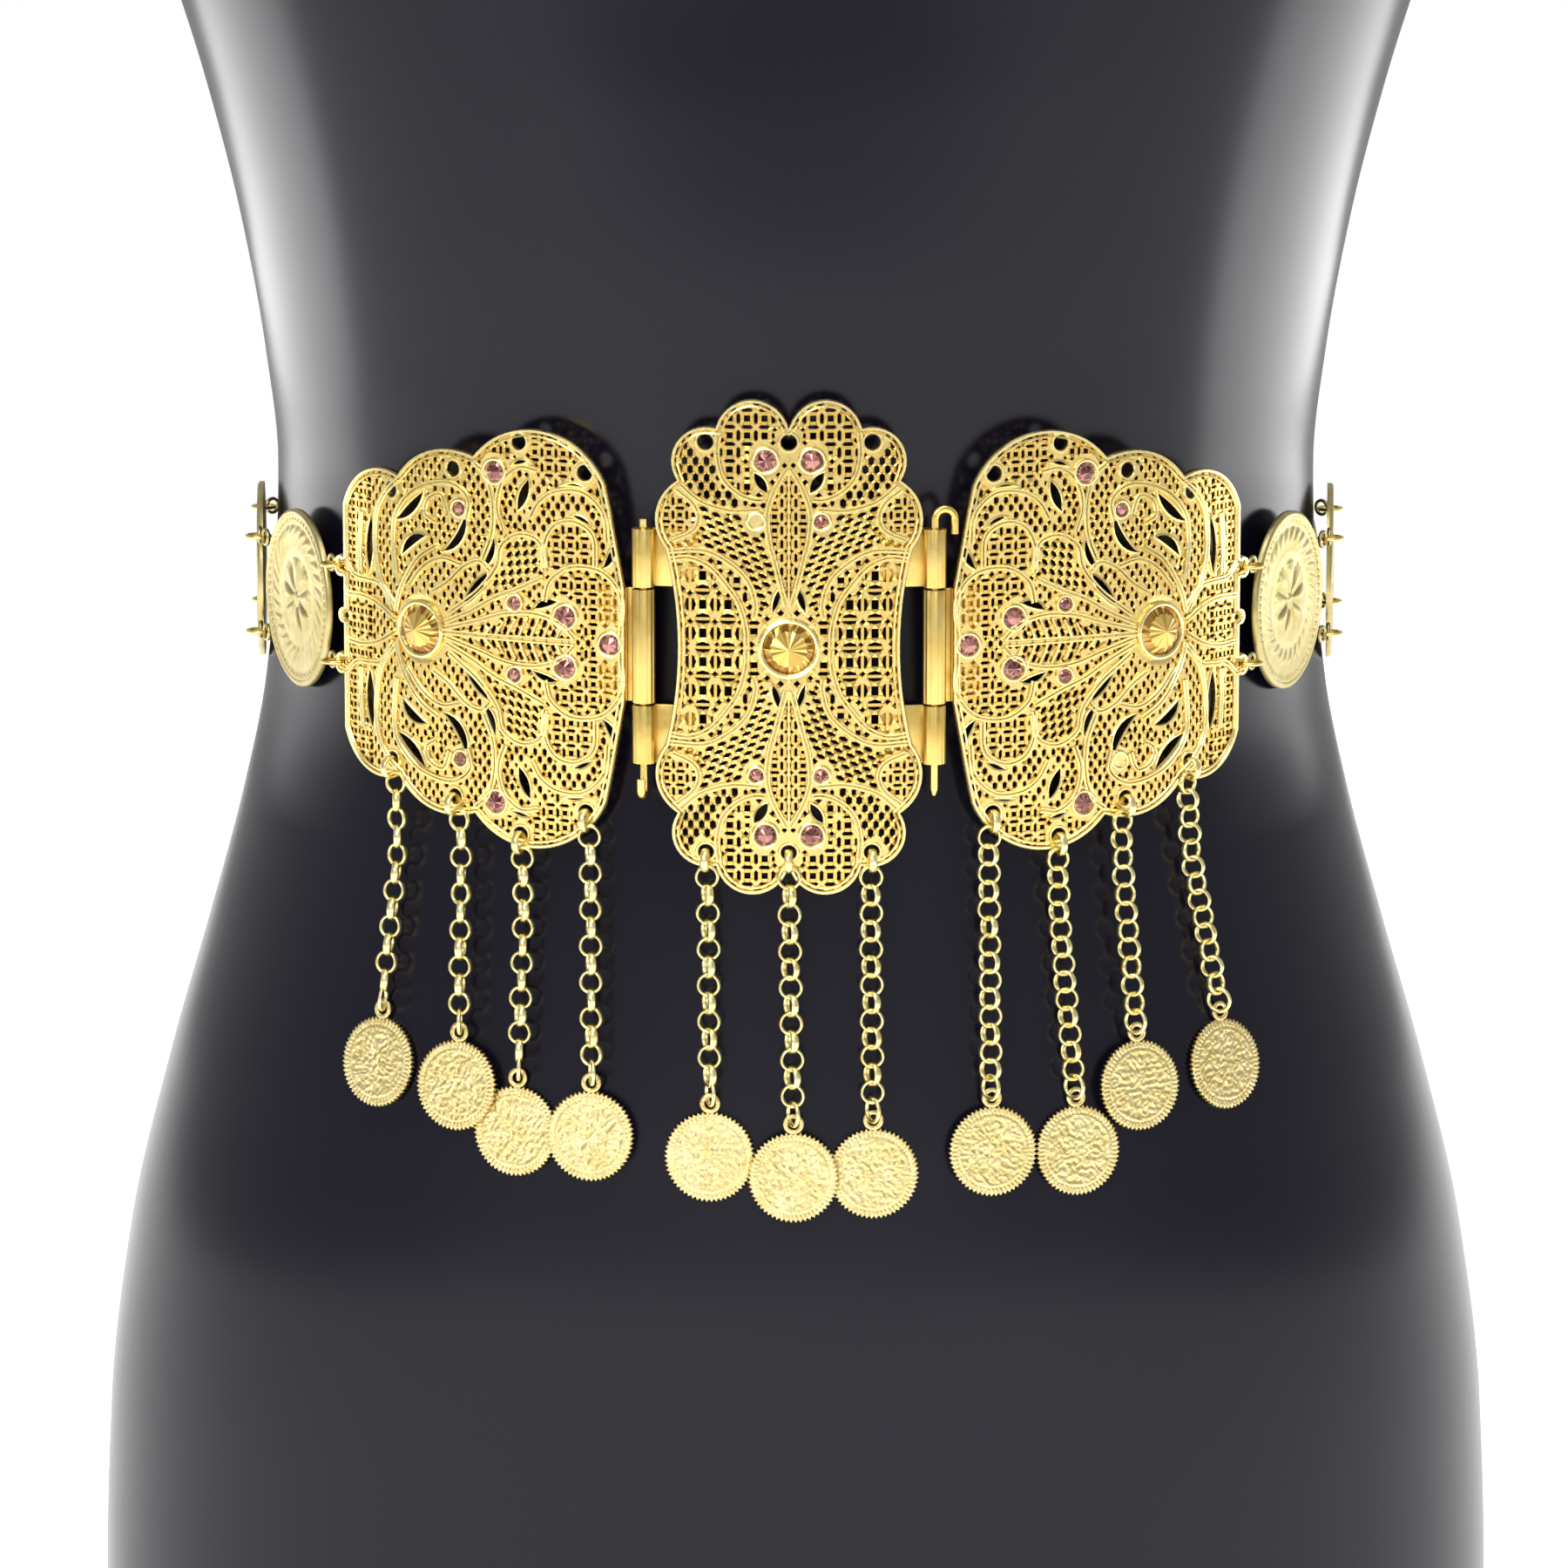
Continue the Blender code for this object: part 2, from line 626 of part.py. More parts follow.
def big_coin_outlines():
    low = math.asin((LUG_HEIGHT - LUG_RADIUS) / BIG_COIN_RADIUS)
    high = math.asin((LUG_HEIGHT + LUG_RADIUS) / BIG_COIN_RADIUS)
    x, y = LUG_HOLE_AT, LUG_HEIGHT
    lugs = [
        Lug(low, high, (x, y), LUG_RADIUS, 0.0),
        Lug(math.pi - high, math.pi - low, (-x, y), LUG_RADIUS, math.pi),
        Lug(math.pi + low, math.pi + high, (-x, -y), LUG_RADIUS, math.pi),
        Lug(2.0 * math.pi - high, 2.0 * math.pi - low, (x, -y), LUG_RADIUS, 0.0),
    ]
    outlines = [coin_outline(BIG_COIN_RADIUS, lugs, BIG_RIM_STEP)]
    for lug in lugs:
        outlines.append(circle(lug.centre, LUG_HOLE, LUG_HOLE_SIDES))
    return outlines


def lug_hole(u, side, v=LUG_HEIGHT):
    """The middle of a big coin's lug hole, for a coin at length u along the belt."""
    base, tangent, up, normal = belt_frame(turn_at(u))
    return base + tangent * (side * LUG_HOLE_AT) + up * v + normal * (BIG_COIN_WALL / 2.0)


def plate_hole(side, v=LUG_HEIGHT):
    return belt_point(side * PLATE_LUG_AT, v, PLATE_BACK + PLATE_WALL / 2.0)


def spaced_coins():
    """Lengths along the right side at which all the rings span the same distance."""
    total = 2.0 * BELT_LENGTHS[-1]
    first = PLATE_LUG_AT + 2.0 * RING_RADIUS + LUG_HOLE_AT
    pitch = (total / 2.0 - first) / (BIG_COINS_A_SIDE - 0.5)
    places = [first + pitch * index for index in range(BIG_COINS_A_SIDE)]
    for _ in range(SPACING_ROUNDS):
        spans = [(lug_hole(places[0], -1.0) - plate_hole(1.0)).length]
        for near, far in zip(places, places[1:]):
            spans.append((lug_hole(far, -1.0) - lug_hole(near, 1.0)).length)
        last = lug_hole(places[-1], 1.0)
        spans.append(2.0 * abs(last.x))
        for index in range(BIG_COINS_A_SIDE):
            places[index] += SPACING_SHARE * (spans[index + 1] - spans[index])
    return places


def make_big_coins(collection):
    places = spaced_coins()
    number = 0
    for u in places + [-place for place in reversed(places)]:
        number += 1
        name = "coin_%02d" % number
        mesh = flat_mesh(name, big_coin_outlines(), BIG_COIN_WALL)
        place_mesh(mesh, placed_on(*belt_frame(turn_at(u))))
        add_object(name, mesh, "pale_gold", collection, smooth=False)
    return places


def ring_between(name, first, second, collection):
    """A level ring through two lug holes, its middle standing off outwards."""
    along = second - first
    half = along.length / 2.0
    stand = math.sqrt(RING_RADIUS ** 2 - half ** 2)
    middle = (first + second) / 2.0
    away = Vector((along.y, -along.x, 0.0)).normalized()
    if away.dot(middle) < 0.0:
        away.negate()
    centre = middle + away * stand
    bpy.ops.mesh.primitive_torus_add(
        major_segments=RING_SIDES, minor_segments=RING_WIRE_SIDES, major_radius=RING_RADIUS,
        minor_radius=RING_WIRE, location=centre,
        rotation=(0.0, 0.0, math.atan2(along.y, along.x)))
    torus = bpy.context.active_object
    mesh = torus.data
    for other in list(torus.users_collection):
        other.objects.unlink(torus)
    torus.name = name
    mesh.name = name
    mesh.materials.append(new_material(name + "_gold", *COLOURS["gold"]))
    mesh.shade_smooth()
    collection.objects.link(torus)


def make_rings(places, collection):
    spans = []
    for side in (1.0, -1.0):
        for v in (LUG_HEIGHT, -LUG_HEIGHT):
            spans.append((plate_hole(side, v), lug_hole(side * places[0], -side, v)))
            for near, far in zip(places, places[1:]):
                spans.append((lug_hole(side * near, side, v), lug_hole(side * far, -side, v)))
    for v in (LUG_HEIGHT, -LUG_HEIGHT):
        spans.append((lug_hole(places[-1], 1.0, v), lug_hole(-places[-1], -1.0, v)))
    for number, (first, second) in enumerate(spans, start=1):
        ring_between("ring_%02d" % number, first, second, collection)


def section(centre, tangent, across, half_width, half_depth):
    corners = []
    for x, y in ((-1, -1), (1, -1), (1, 1), (-1, 1)):
        corners.append(centre + tangent * (x * half_width) + across * (y * half_depth))
    return corners


def chain_rings(strand):
    """Sections of one chain, from its stub in the plate's hole down to the coin's lug."""
    hole_turn = turn_at(strand.u * MM)
    hole_z = belt_point(strand.u * MM, strand.v * MM, 0.0).z
    end_z = hole_z - strand.drop * MM
    half_width, front, _ = form_size(end_z)
    arc_per_turn = math.hypot(half_width * math.cos(hole_turn), front * math.sin(hole_turn))
    end_turn = hole_turn + strand.sway * MM / arc_per_turn
    _, tangent, up, normal = belt_frame(hole_turn)
    stub_v = strand.v * MM - HOLE_RADIUS + SEAM + WIRE_HALF
    root = belt_point(strand.u * MM, stub_v, PLATE_BACK + WIRE_HALF)
    stand = PLATE_FRONT + SEAM + LINK_HALF_WIDTH
    knee = belt_point(strand.u * MM, stub_v, stand)
    rings = [
        section(root, tangent, up, WIRE_HALF, WIRE_HALF),
        section(knee - normal * WIRE_HALF, tangent, up, WIRE_HALF, WIRE_HALF),
    ]
    rest_out = CLEARANCE + LINK_HALF_WIDTH + CHAIN_CLEARANCE
    first_z = knee.z - FIRST_LINK
    count = round((first_z - end_z) / LINK_PITCH)
    pitch = (first_z - end_z) / count
    for index in range(count + 1):
        for shift in (-LINK_HALF_LENGTH, LINK_HALF_LENGTH):
            z = first_z - pitch * index - shift
            share = (hole_z - z) / (hole_z - end_z)
            turn = hole_turn + (end_turn - hole_turn) * share
            face = frame_from(lambda a, h: form_ring(h, a), turn, z)[2]
            hang = (Vector((knee.x, knee.y, z)) - form_ring(z, turn)).dot(face)
            lying = rest_out + strand.layer * LAYER_STEP
            centre = form_point(turn, z, max(lying, hang))
            side = Vector((0.0, 0.0, 1.0)).cross(face).normalized()
            wide, deep = WIRE_HALF, LINK_HALF_WIDTH
            if (count - index) % 2 == 1:
                wide, deep = deep, wide
            rings.append(section(centre, side, face, wide, deep))
    return rings, end_turn, end_z


def make_strands(collection, cutters):
    rim = math.asin(SMALL_LUG_HALF_ROOT / SMALL_COIN_RADIUS)
    top = math.pi / 2.0
    lug = Lug(top - rim, top + rim, (0.0, SMALL_LUG_AT), SMALL_LUG_RADIUS, top)
    for strand in STRANDS:
        rings, end_turn, end_z = chain_rings(strand)
        chain = bpy.data.objects.new(strand.name + "_chain", loft_mesh(strand.name, rings))
        chain.hide_render = True
        chain.display_type = "WIRE"
        cutters.objects.link(chain)
        outline = coin_outline(SMALL_COIN_RADIUS, [lug], SMALL_RIM_STEP)
        mesh = flat_mesh(strand.name, [outline], SMALL_COIN_WALL)
        coin_z = end_z - SMALL_LUG_AT
        tangent, up, normal = frame_from(lambda a, h: form_ring(h, a), end_turn, coin_z)
        out = CLEARANCE + strand.layer * LAYER_STEP
        base = form_ring(coin_z, end_turn) + normal * out
        place_mesh(mesh, placed_on(base, tangent, normal.cross(tangent), normal))
        piece = add_object(strand.name, mesh, "pale_gold", collection, smooth=False)
        join = piece.modifiers.new("join", "BOOLEAN")
        join.operation = "UNION"
        join.solver = "EXACT"
        join.object = chain


def main():
    clear_scene()
    collection = new_collection("coin_waist_chain")
    cutters = new_collection("cutters")
    make_form(collection)
    make_plates(collection)
    make_hinges(collection)
    make_pins(collection)
    make_stones(collection)
    places = make_big_coins(collection)
    make_rings(places, collection)
    make_strands(collection, cutters)


main()
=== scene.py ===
import math
import random

import bmesh
import bpy
import numpy as np
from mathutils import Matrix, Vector, geometry, kdtree, noise


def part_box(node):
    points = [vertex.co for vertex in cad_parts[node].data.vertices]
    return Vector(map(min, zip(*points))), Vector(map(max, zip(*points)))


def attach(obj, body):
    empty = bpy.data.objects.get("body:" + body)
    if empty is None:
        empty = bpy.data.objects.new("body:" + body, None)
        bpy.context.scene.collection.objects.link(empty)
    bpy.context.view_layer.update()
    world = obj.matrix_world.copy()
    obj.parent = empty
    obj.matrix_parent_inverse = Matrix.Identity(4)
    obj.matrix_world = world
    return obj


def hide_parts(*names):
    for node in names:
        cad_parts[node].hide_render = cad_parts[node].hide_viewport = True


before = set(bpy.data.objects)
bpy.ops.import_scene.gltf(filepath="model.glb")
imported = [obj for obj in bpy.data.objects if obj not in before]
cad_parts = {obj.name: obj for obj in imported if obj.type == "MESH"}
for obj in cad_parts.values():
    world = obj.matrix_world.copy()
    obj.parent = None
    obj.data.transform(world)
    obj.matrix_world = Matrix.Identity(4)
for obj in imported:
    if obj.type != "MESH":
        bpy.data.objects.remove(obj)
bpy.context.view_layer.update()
mm = 0.001
chance = random.Random(7)
print("frame loaded:", len(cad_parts), "nodes")

# The form's sections, and the surface that the belt lies on
formRows = np.array([  # height, half the width, reach to the front, reach to the back
    (0.000, 0.1560, 0.1220, 0.1045), (0.015, 0.1578, 0.1238, 0.1065), (0.060, 0.1562, 0.1242, 0.1080),
    (0.100, 0.1512, 0.1238, 0.1070), (0.140, 0.1416, 0.1212, 0.1000), (0.170, 0.1328, 0.1190, 0.0905),
    (0.200, 0.1245, 0.1168, 0.0790), (0.225, 0.1192, 0.1146, 0.0710), (0.250, 0.1166, 0.1133, 0.0680),
    (0.275, 0.1158, 0.1130, 0.0675), (0.300, 0.1183, 0.1152, 0.0690), (0.330, 0.1235, 0.1180, 0.0730),
    (0.360, 0.1309, 0.1200, 0.0775), (0.400, 0.1430, 0.1225, 0.0825), (0.425, 0.1490, 0.1285, 0.0872),
    (0.445, 0.1522, 0.1357, 0.0902), (0.462, 0.1541, 0.1380, 0.0922), (0.480, 0.1555, 0.1352, 0.0938),
    (0.500, 0.1569, 0.1275, 0.0952), (0.520, 0.1585, 0.1180, 0.0960), (0.560, 0.1620, 0.1000, 0.0940),
    (0.600, 0.1600, 0.0840, 0.0860), (0.625, 0.1400, 0.0720, 0.0760), (0.642, 0.0980, 0.0600, 0.0640),
    (0.655, 0.0640, 0.0510, 0.0530), (0.675, 0.0535, 0.0480, 0.0490), (0.697, 0.0520, 0.0470, 0.0480),
    (0.700, 0.0500, 0.0450, 0.0460)])
formHeights = formRows[:, 0]
formShift = 0.5 * (formRows[:, 2].max() - formRows[:, 3].max())
belt = {"height": 0.250, "clearance": 0.5 * mm, "plateReach": 52.4 * mm, "coinReach": 20.0 * mm,
        "plateTurn": math.radians(30.0), "coinTurn": math.radians(70.0)}


def rowSlopes(values):
    steps = np.diff(values) / np.diff(formHeights)
    slopes = np.concatenate([steps[:1], np.zeros(len(steps) - 1), steps[-1:]])
    same = steps[:-1] * steps[1:] > 0.0
    slopes[1:-1][same] = 2.0 / (1.0 / steps[:-1][same] + 1.0 / steps[1:][same])
    return slopes


formSlopes = [rowSlopes(formRows[:, column]) for column in (1, 2, 3)]


def formSizes(height):
    index = np.clip(np.searchsorted(formHeights, height) - 1, 0, len(formHeights) - 2)
    step = formHeights[index + 1] - formHeights[index]
    t = (height - formHeights[index]) / step
    sizes = []
    for column, slopes in zip((1, 2, 3), formSlopes):
        low, high = formRows[index, column], formRows[index + 1, column]
        sizes.append(low * (1 + 2 * t) * (1 - t) ** 2 + slopes[index] * step * t * (1 - t) ** 2
                     + high * t * t * (3 - 2 * t) + slopes[index + 1] * step * t * t * (t - 1))
    return sizes


def formRing(turn, height):
    turn, height = np.broadcast_arrays(np.asarray(turn, float), np.asarray(height, float))
    halfWidth, front, back = formSizes(height)
    reach = np.where(np.cos(turn) > 0.0, front, back)
    return np.stack([halfWidth * np.sin(turn), formShift - reach * np.cos(turn), height], axis=-1)


def beltSurface(turn, v):
    turn, v = np.broadcast_arrays(np.asarray(turn, float), np.asarray(v, float))
    share = np.clip((abs(turn) - belt["plateTurn"]) / (belt["coinTurn"] - belt["plateTurn"]), 0, 1)
    share = share * share * (3.0 - 2.0 * share)
    reach = belt["plateReach"] + (belt["coinReach"] - belt["plateReach"]) * share
    foot = formRing(turn, belt["height"] - reach)
    foot[..., 2] = belt["height"] + v
    return foot


def unit(vectors):
    return vectors / np.linalg.norm(vectors, axis=-1, keepdims=True)


def surfaceFrame(surface, turn, height, step=0.0005):
    turn, height = np.asarray(turn, float), np.asarray(height, float)
    along = unit(surface(turn + step, height) - surface(turn - step, height))
    up = unit(surface(turn, height + step) - surface(turn, height - step))
    return along, up, unit(np.cross(along, up))


beltTurns = np.linspace(0.0, math.pi, 721)
beltNormals = surfaceFrame(beltSurface, beltTurns, 0.0 * beltTurns)[2]
beltLine = beltSurface(beltTurns, 0.0) + beltNormals * belt["clearance"]
beltLengths = np.concatenate([[0.0], np.cumsum(np.linalg.norm(np.diff(beltLine, axis=0), axis=1))])


def turnAt(u):
    return np.sign(u) * np.interp(np.abs(u), beltLengths, beltTurns)


def beltPoints(places):  # rows of length along the belt, height off its middle, distance off its back
    places = np.asarray(places, float)
    turn = turnAt(places[..., 0])
    normal = surfaceFrame(beltSurface, turn, places[..., 1])[2]
    return beltSurface(turn, places[..., 1]) + normal * (belt["clearance"] + places[..., 2:3])


def clearSelection():
    if bpy.context.object and bpy.context.object.mode != "OBJECT":
        bpy.ops.object.mode_set(mode="OBJECT")
    bpy.ops.object.select_all(action="DESELECT")


def meshPiece(name, points, faces, smooth=True):  # a mesh object made from points and faces
    mesh = bpy.data.meshes.new(name)
    mesh.from_pydata([tuple(point) for point in points], [], [tuple(face) for face in faces])
    mesh.update()
    piece = bpy.data.objects.new(name, mesh)
    bpy.context.scene.collection.objects.link(piece)
    if smooth:
        mesh.shade_smooth()
    return piece


def faceOut(piece):
    shape = bmesh.new()
    shape.from_mesh(piece.data)
    bmesh.ops.recalc_face_normals(shape, faces=shape.faces)
    if shape.calc_volume(signed=True) < 0.0:
        bmesh.ops.reverse_faces(shape, faces=shape.faces)
    shape.to_mesh(piece.data)
    shape.free()


class Soup:  # parts of one piece, gathered before they become a mesh
    def __init__(self):
        self.points, self.faces, self.count = [], [], 0

    def add(self, points, faces):
        self.points.append(np.asarray(points, float).reshape(-1, 3))
        self.faces += [tuple(corner + self.count for corner in face) for face in faces]
        self.count += len(self.points[-1])

    def piece(self, name):
        return meshPiece(name, np.concatenate(self.points), self.faces)


def ringFaces(rows, sides, closed=False):  # quads between rings of points, and a cap at each end
    faces = [(row * sides + k, row * sides + (k + 1) % sides,
              (row + 1) % rows * sides + (k + 1) % sides, (row + 1) % rows * sides + k)
             for row in range(rows if closed else rows - 1) for k in range(sides)]
    if not closed:
        faces.append(tuple(reversed(range(sides))))
        faces.append(tuple(range((rows - 1) * sides, rows * sides)))
    return faces


def circle(radius, sides):
    angles = np.arange(sides) * 2.0 * math.pi / sides
    return np.column_stack([radius * np.cos(angles), radius * np.sin(angles)])


def lifted(flat, heights):  # flat points with a height for each, or one for all
    return np.column_stack([flat, np.broadcast_to(heights, len(flat))])


def tube(points, radius, sides=6, closed=False):
    points = np.asarray(points, float)
    if closed:
        ahead = unit(np.roll(points, -1, axis=0) - np.roll(points, 1, axis=0))
    else:
        ahead = unit(np.gradient(points, axis=0))
    side = np.cross(ahead[0], (0.0, 0.0, 1.0))
    if np.linalg.norm(side) < 0.1:
        side = np.cross(ahead[0], (1.0, 0.0, 0.0))
    rings = []
    for point, way in zip(points, ahead):
        side = unit(side - way * np.dot(side, way))
        over = np.cross(way, side)
        angles = np.arange(sides) * 2.0 * math.pi / sides
        rings.append(point + radius * (np.outer(np.cos(angles), side) + np.outer(np.sin(angles), over)))
    return np.concatenate(rings), [face[::-1] for face in ringFaces(len(points), sides, closed)]


def torusParts(radius, wire, around, sides):
    clearSelection()
    bpy.ops.mesh.primitive_torus_add(major_segments=around, minor_segments=sides,
                                     major_radius=radius, minor_radius=wire)
    torus = bpy.context.object
    points = np.array([tuple(vertex.co) for vertex in torus.data.vertices])
    faces = [tuple(face.vertices) for face in torus.data.polygons]
    bpy.data.objects.remove(torus, do_unlink=True)
    return points, faces


def placed(points, centre, across, over, out):  # a part's own X, Y and Z laid along three directions
    return np.asarray(centre) + points @ np.array([across, over, out])


def finishPiece(piece, material, nodes=(), sharp=None):
    piece.data.materials.clear()
    piece.data.materials.append(material)
    if sharp is not None:
        clearSelection()
        piece.select_set(True)
        bpy.context.view_layer.objects.active = piece
        bpy.ops.object.shade_smooth_by_angle(angle=math.radians(sharp))
    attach(piece, "root")
    if nodes:
        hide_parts(*nodes)
    return piece


def grainGroup():  # fine unevenness of a cast or moulded surface
    group = bpy.data.node_groups.new("surfaceGrain", "ShaderNodeTree")
    for way, names in (("INPUT", ("Scale", "Low", "High")), ("OUTPUT", ("Height", "Rough"))):
        for name in names:
            group.interface.new_socket(name, in_out=way, socket_type="NodeSocketFloat")
    nodes, links = group.nodes, group.links
    entry, leave = nodes.new("NodeGroupInput"), nodes.new("NodeGroupOutput")
    place = nodes.new("ShaderNodeTexCoord")
    cloud = nodes.new("ShaderNodeTexNoise")
    cloud.inputs["Detail"].default_value = 4.0
    spread = nodes.new("ShaderNodeMapRange")
    links.new(place.outputs["Object"], cloud.inputs["Vector"])
    links.new(entry.outputs["Scale"], cloud.inputs["Scale"])
    links.new(cloud.outputs["Fac"], spread.inputs["Value"])
    spread.inputs["From Min"].default_value = 0.3
    spread.inputs["From Max"].default_value = 0.7
    links.new(entry.outputs["Low"], spread.inputs["To Min"])
    links.new(entry.outputs["High"], spread.inputs["To Max"])
    links.new(cloud.outputs["Fac"], leave.inputs["Height"])
    links.new(spread.outputs["Result"], leave.inputs["Rough"])
    return group


grain = grainGroup()


def newFinish(name, look):
    material = bpy.data.materials.new(name)
    material.use_nodes = True
    nodes, links = material.node_tree.nodes, material.node_tree.links
    shader = nodes["Principled BSDF"]
    for socket, value in look["shader"].items():
        shader.inputs[socket].default_value = value
    uneven = nodes.new("ShaderNodeGroup")
    uneven.node_tree = grain
    uneven.inputs["Scale"].default_value = look["grain"]
    uneven.inputs["Low"].default_value, uneven.inputs["High"].default_value = look["rough"]
    links.new(uneven.outputs["Rough"], shader.inputs["Roughness"])
    tint = nodes.new("ShaderNodeValToRGB")
    if "shadeFrom" in look:  # a colour attribute of the mesh, here carrying painted shade for the openwork and painted reflections for the stones
        shade = nodes.new("ShaderNodeVertexColor")
        shade.layer_name = look["shadeFrom"]
        links.new(shade.outputs["Color"], tint.inputs["Fac"])
    else:
        place, cloud = nodes.new("ShaderNodeTexCoord"), nodes.new("ShaderNodeTexNoise")
        cloud.inputs["Scale"].default_value = look["tintScale"]
        links.new(place.outputs["Object"], cloud.inputs["Vector"])
        links.new(cloud.outputs["Fac"], tint.inputs["Fac"])
    stops = look.get("stops", (0.35, 0.65))
    for stop, spot, colour in zip(tint.color_ramp.elements, stops, look["colours"]):
        stop.position = spot
        stop.color = (*colour, 1.0)
    links.new(tint.outputs["Color"], shader.inputs["Base Color"])
    bump = nodes.new("ShaderNodeBump")
    bump.inputs["Strength"].default_value = look["bump"]
    bump.inputs["Distance"].default_value = look.get("relief", 0.1) * mm
    links.new(uneven.outputs["Height"], bump.inputs["Height"])
    links.new(bump.outputs["Normal"], shader.inputs["Normal"])
    material.diffuse_color = (*look["colours"][0], 1.0)
    return material


blackPlastic = newFinish("blackPlastic", {
    "shader": {"Metallic": 0.0, "Specular IOR Level": 0.27}, "grain": 14.0, "rough": (0.20, 0.25),
    "tintScale": 6.0, "colours": ((0.0050, 0.0042, 0.0105), (0.0060, 0.0052, 0.0120)), "bump": 0.0})
gold = {"shader": {"Metallic": 1.0}, "grain": 900.0, "rough": (0.20, 0.32), "tintScale": 160.0}
plateGold = newFinish("plateGold", {
    **gold, "colours": ((1.0, 0.72, 0.20), (1.0, 0.82, 0.34)), "bump": 0.25})
chainGold = newFinish("chainGold", {  # painted highlight: the small links are given a paler gold than the plates, standing in for their bright highlights
    **gold, "rough": (0.24, 0.36), "colours": ((1.0, 0.84, 0.36), (1.0, 0.92, 0.50)), "bump": 0.2})
openworkGold = newFinish("openworkGold", {  # painted shade: its recesses are painted a deeper gold than its wires, whose tops are painted lighter
    **gold, "shadeFrom": "reliefPaintedShade", "stops": (0.15, 1.0),
    "colours": ((0.90, 0.62, 0.17), (1.0, 0.88, 0.42)), "bump": 0.2})
satinGold = newFinish("satinGold", {
    **gold, "grain": 700.0, "rough": (0.30, 0.42), "tintScale": 120.0,
    "colours": ((0.78, 0.54, 0.14), (0.85, 0.64, 0.21)), "bump": 0.35})
coinGold = newFinish("coinGold", {
    **gold, "grain": 1250.0, "rough": (0.28, 0.42), "relief": 0.26, "tintScale": 260.0,
    "colours": ((0.84, 0.67, 0.28), (0.92, 0.77, 0.39)), "bump": 0.9})
coat = {"Coat Weight": 0.35, "Coat Roughness": 0.03}
# painted reflections: the stones' colours run from dark to light by a painted brightness for each facet
stone = {"grain": 400.0, "rough": (0.06, 0.12), "shadeFrom": "facetPaintedGlint", "stops": (0.0, 1.0), "bump": 0.0}
amberStone = newFinish("amberStone", {
    **stone, "shader": {"Metallic": 0.75, **coat}, "colours": ((0.30, 0.11, 0.004), (0.94, 0.66, 0.16))})
roseStone = newFinish("roseStone", {
    **stone, "shader": {"Metallic": 0.6, **coat}, "colours": ((0.11, 0.025, 0.025), (0.62, 0.28, 0.23))})
duskGold = newFinish("duskGold", {  # the large coins are a little greener than the small ones
    **gold, "rough": (0.30, 0.42), "colours": ((0.56, 0.46, 0.18), (0.66, 0.56, 0.27)), "bump": 0.4})
print("finishes made")

formLook = {"sides": 112, "rows": 170, "footShare": 0.975, "neckShare": 0.985, "edge": 0.8 * mm,
            "sharp": 50.0}


def makeForm():
    look = formLook
    turns = np.arange(look["sides"]) * 2.0 * math.pi / look["sides"]
    rings = [formRing(turns, height) for height in np.linspace(0.0, formHeights[-1], look["rows"])]
    foot, neck = rings[0].copy(), rings[-1].copy()  # softened edges below and on top of the neck
    foot[:, :2] *= look["footShare"]
    neck[:, :2] *= look["neckShare"]
    rings[0][:, 2] += look["edge"]
    rings[-1][:, 2] -= look["edge"]
    rings = [foot, *rings, neck]
    piece = meshPiece("dressFormSkin", np.concatenate(rings), ringFaces(len(rings), look["sides"]))
    finishPiece(piece, blackPlastic, ["dress_form"], sharp=look["sharp"])


makeForm()
print("dress form made")

# The plates are drawn flat in mm and then bent on to the belt's surface
openwork = {
    "back": 1.3, "front": 2.5, "chamfer": 0.26, "shoulder": 0.2, "reliefTop": 0.35,  # heights and edges; reliefTop is the height at which the painted recess shade turns fully light
    "margin": 0.52, "sizes": (1.0, 0.72, 0.5), "discGap": 0.3, "lineStep": 0.35,  # net holes
    "grid": 0.4, "middleGap": 0.75, "fillGap": 0.42, "cornerGap": 0.38, "holeGap": 0.8,  # small fills
    "wire": 0.31, "wireRise": 0.26, "wireApart": 0.40, "gapWire": 0.30, "rib": 0.2,
    "rims": ((0.45, 0.05, 0.50, 6), (1.45, 0.12, 0.28, 5)),  # inset, rise, radius, sides
    "eye": 1.6, "eyeRing": (1.95, 0.36), "eyeRoom": 2.5, "stoneRoom": 1.2}
front = openwork["front"]


def arcPoints(start, end, bulge, steps):
    start, end = np.array(start, float), np.array(end, float)
    if steps == 1 or bulge == 0.0:
        return [start + (end - start) * index / steps for index in range(steps)]
    half = np.linalg.norm(end - start) / 2.0
    along = (end - start) / (2.0 * half)
    left = np.array((-along[1], along[0]))
    radius = (half * half + bulge * bulge) / (2.0 * bulge)
    angle = 2.0 * math.atan(bulge / half)
    points = []
    for index in range(steps):
        swing = angle * (2.0 * index / steps - 1.0)
        rise = radius * math.cos(swing) - (radius - bulge)
        points.append((start + end) / 2.0 + along * radius * math.sin(swing) + left * rise)
    return points


def throughCorners(corners, finer=3):
    points = []
    for (u, v, bulge, steps), after in zip(corners, corners[1:]):
        points += arcPoints((u, v), after[:2], bulge, steps * finer)
    return points + [np.array(corners[-1][:2], float)]


def mirrored(points, u=1.0, v=1.0):
    return [point * (u, v) for point in reversed(points)]


def smoothCurve(corners, step=0.7):  # an even curve through a few points
    corners = np.array(corners, float)
    padded = np.concatenate([[2 * corners[0] - corners[1]], corners, [2 * corners[-1] - corners[-2]]])
    points = []
    for a, b, c, d in zip(padded, padded[1:], padded[2:], padded[3:]):
        steps = max(2, int(np.linalg.norm(c - b) / step))
        for index in range(steps):
            t = index / steps
            points.append(0.5 * (2 * b + (c - a) * t + (2 * a - 5 * b + 4 * c - d) * t * t
                                 + (3 * b - a - 3 * c + d) * t ** 3))
    return np.array(points + [corners[-1]])


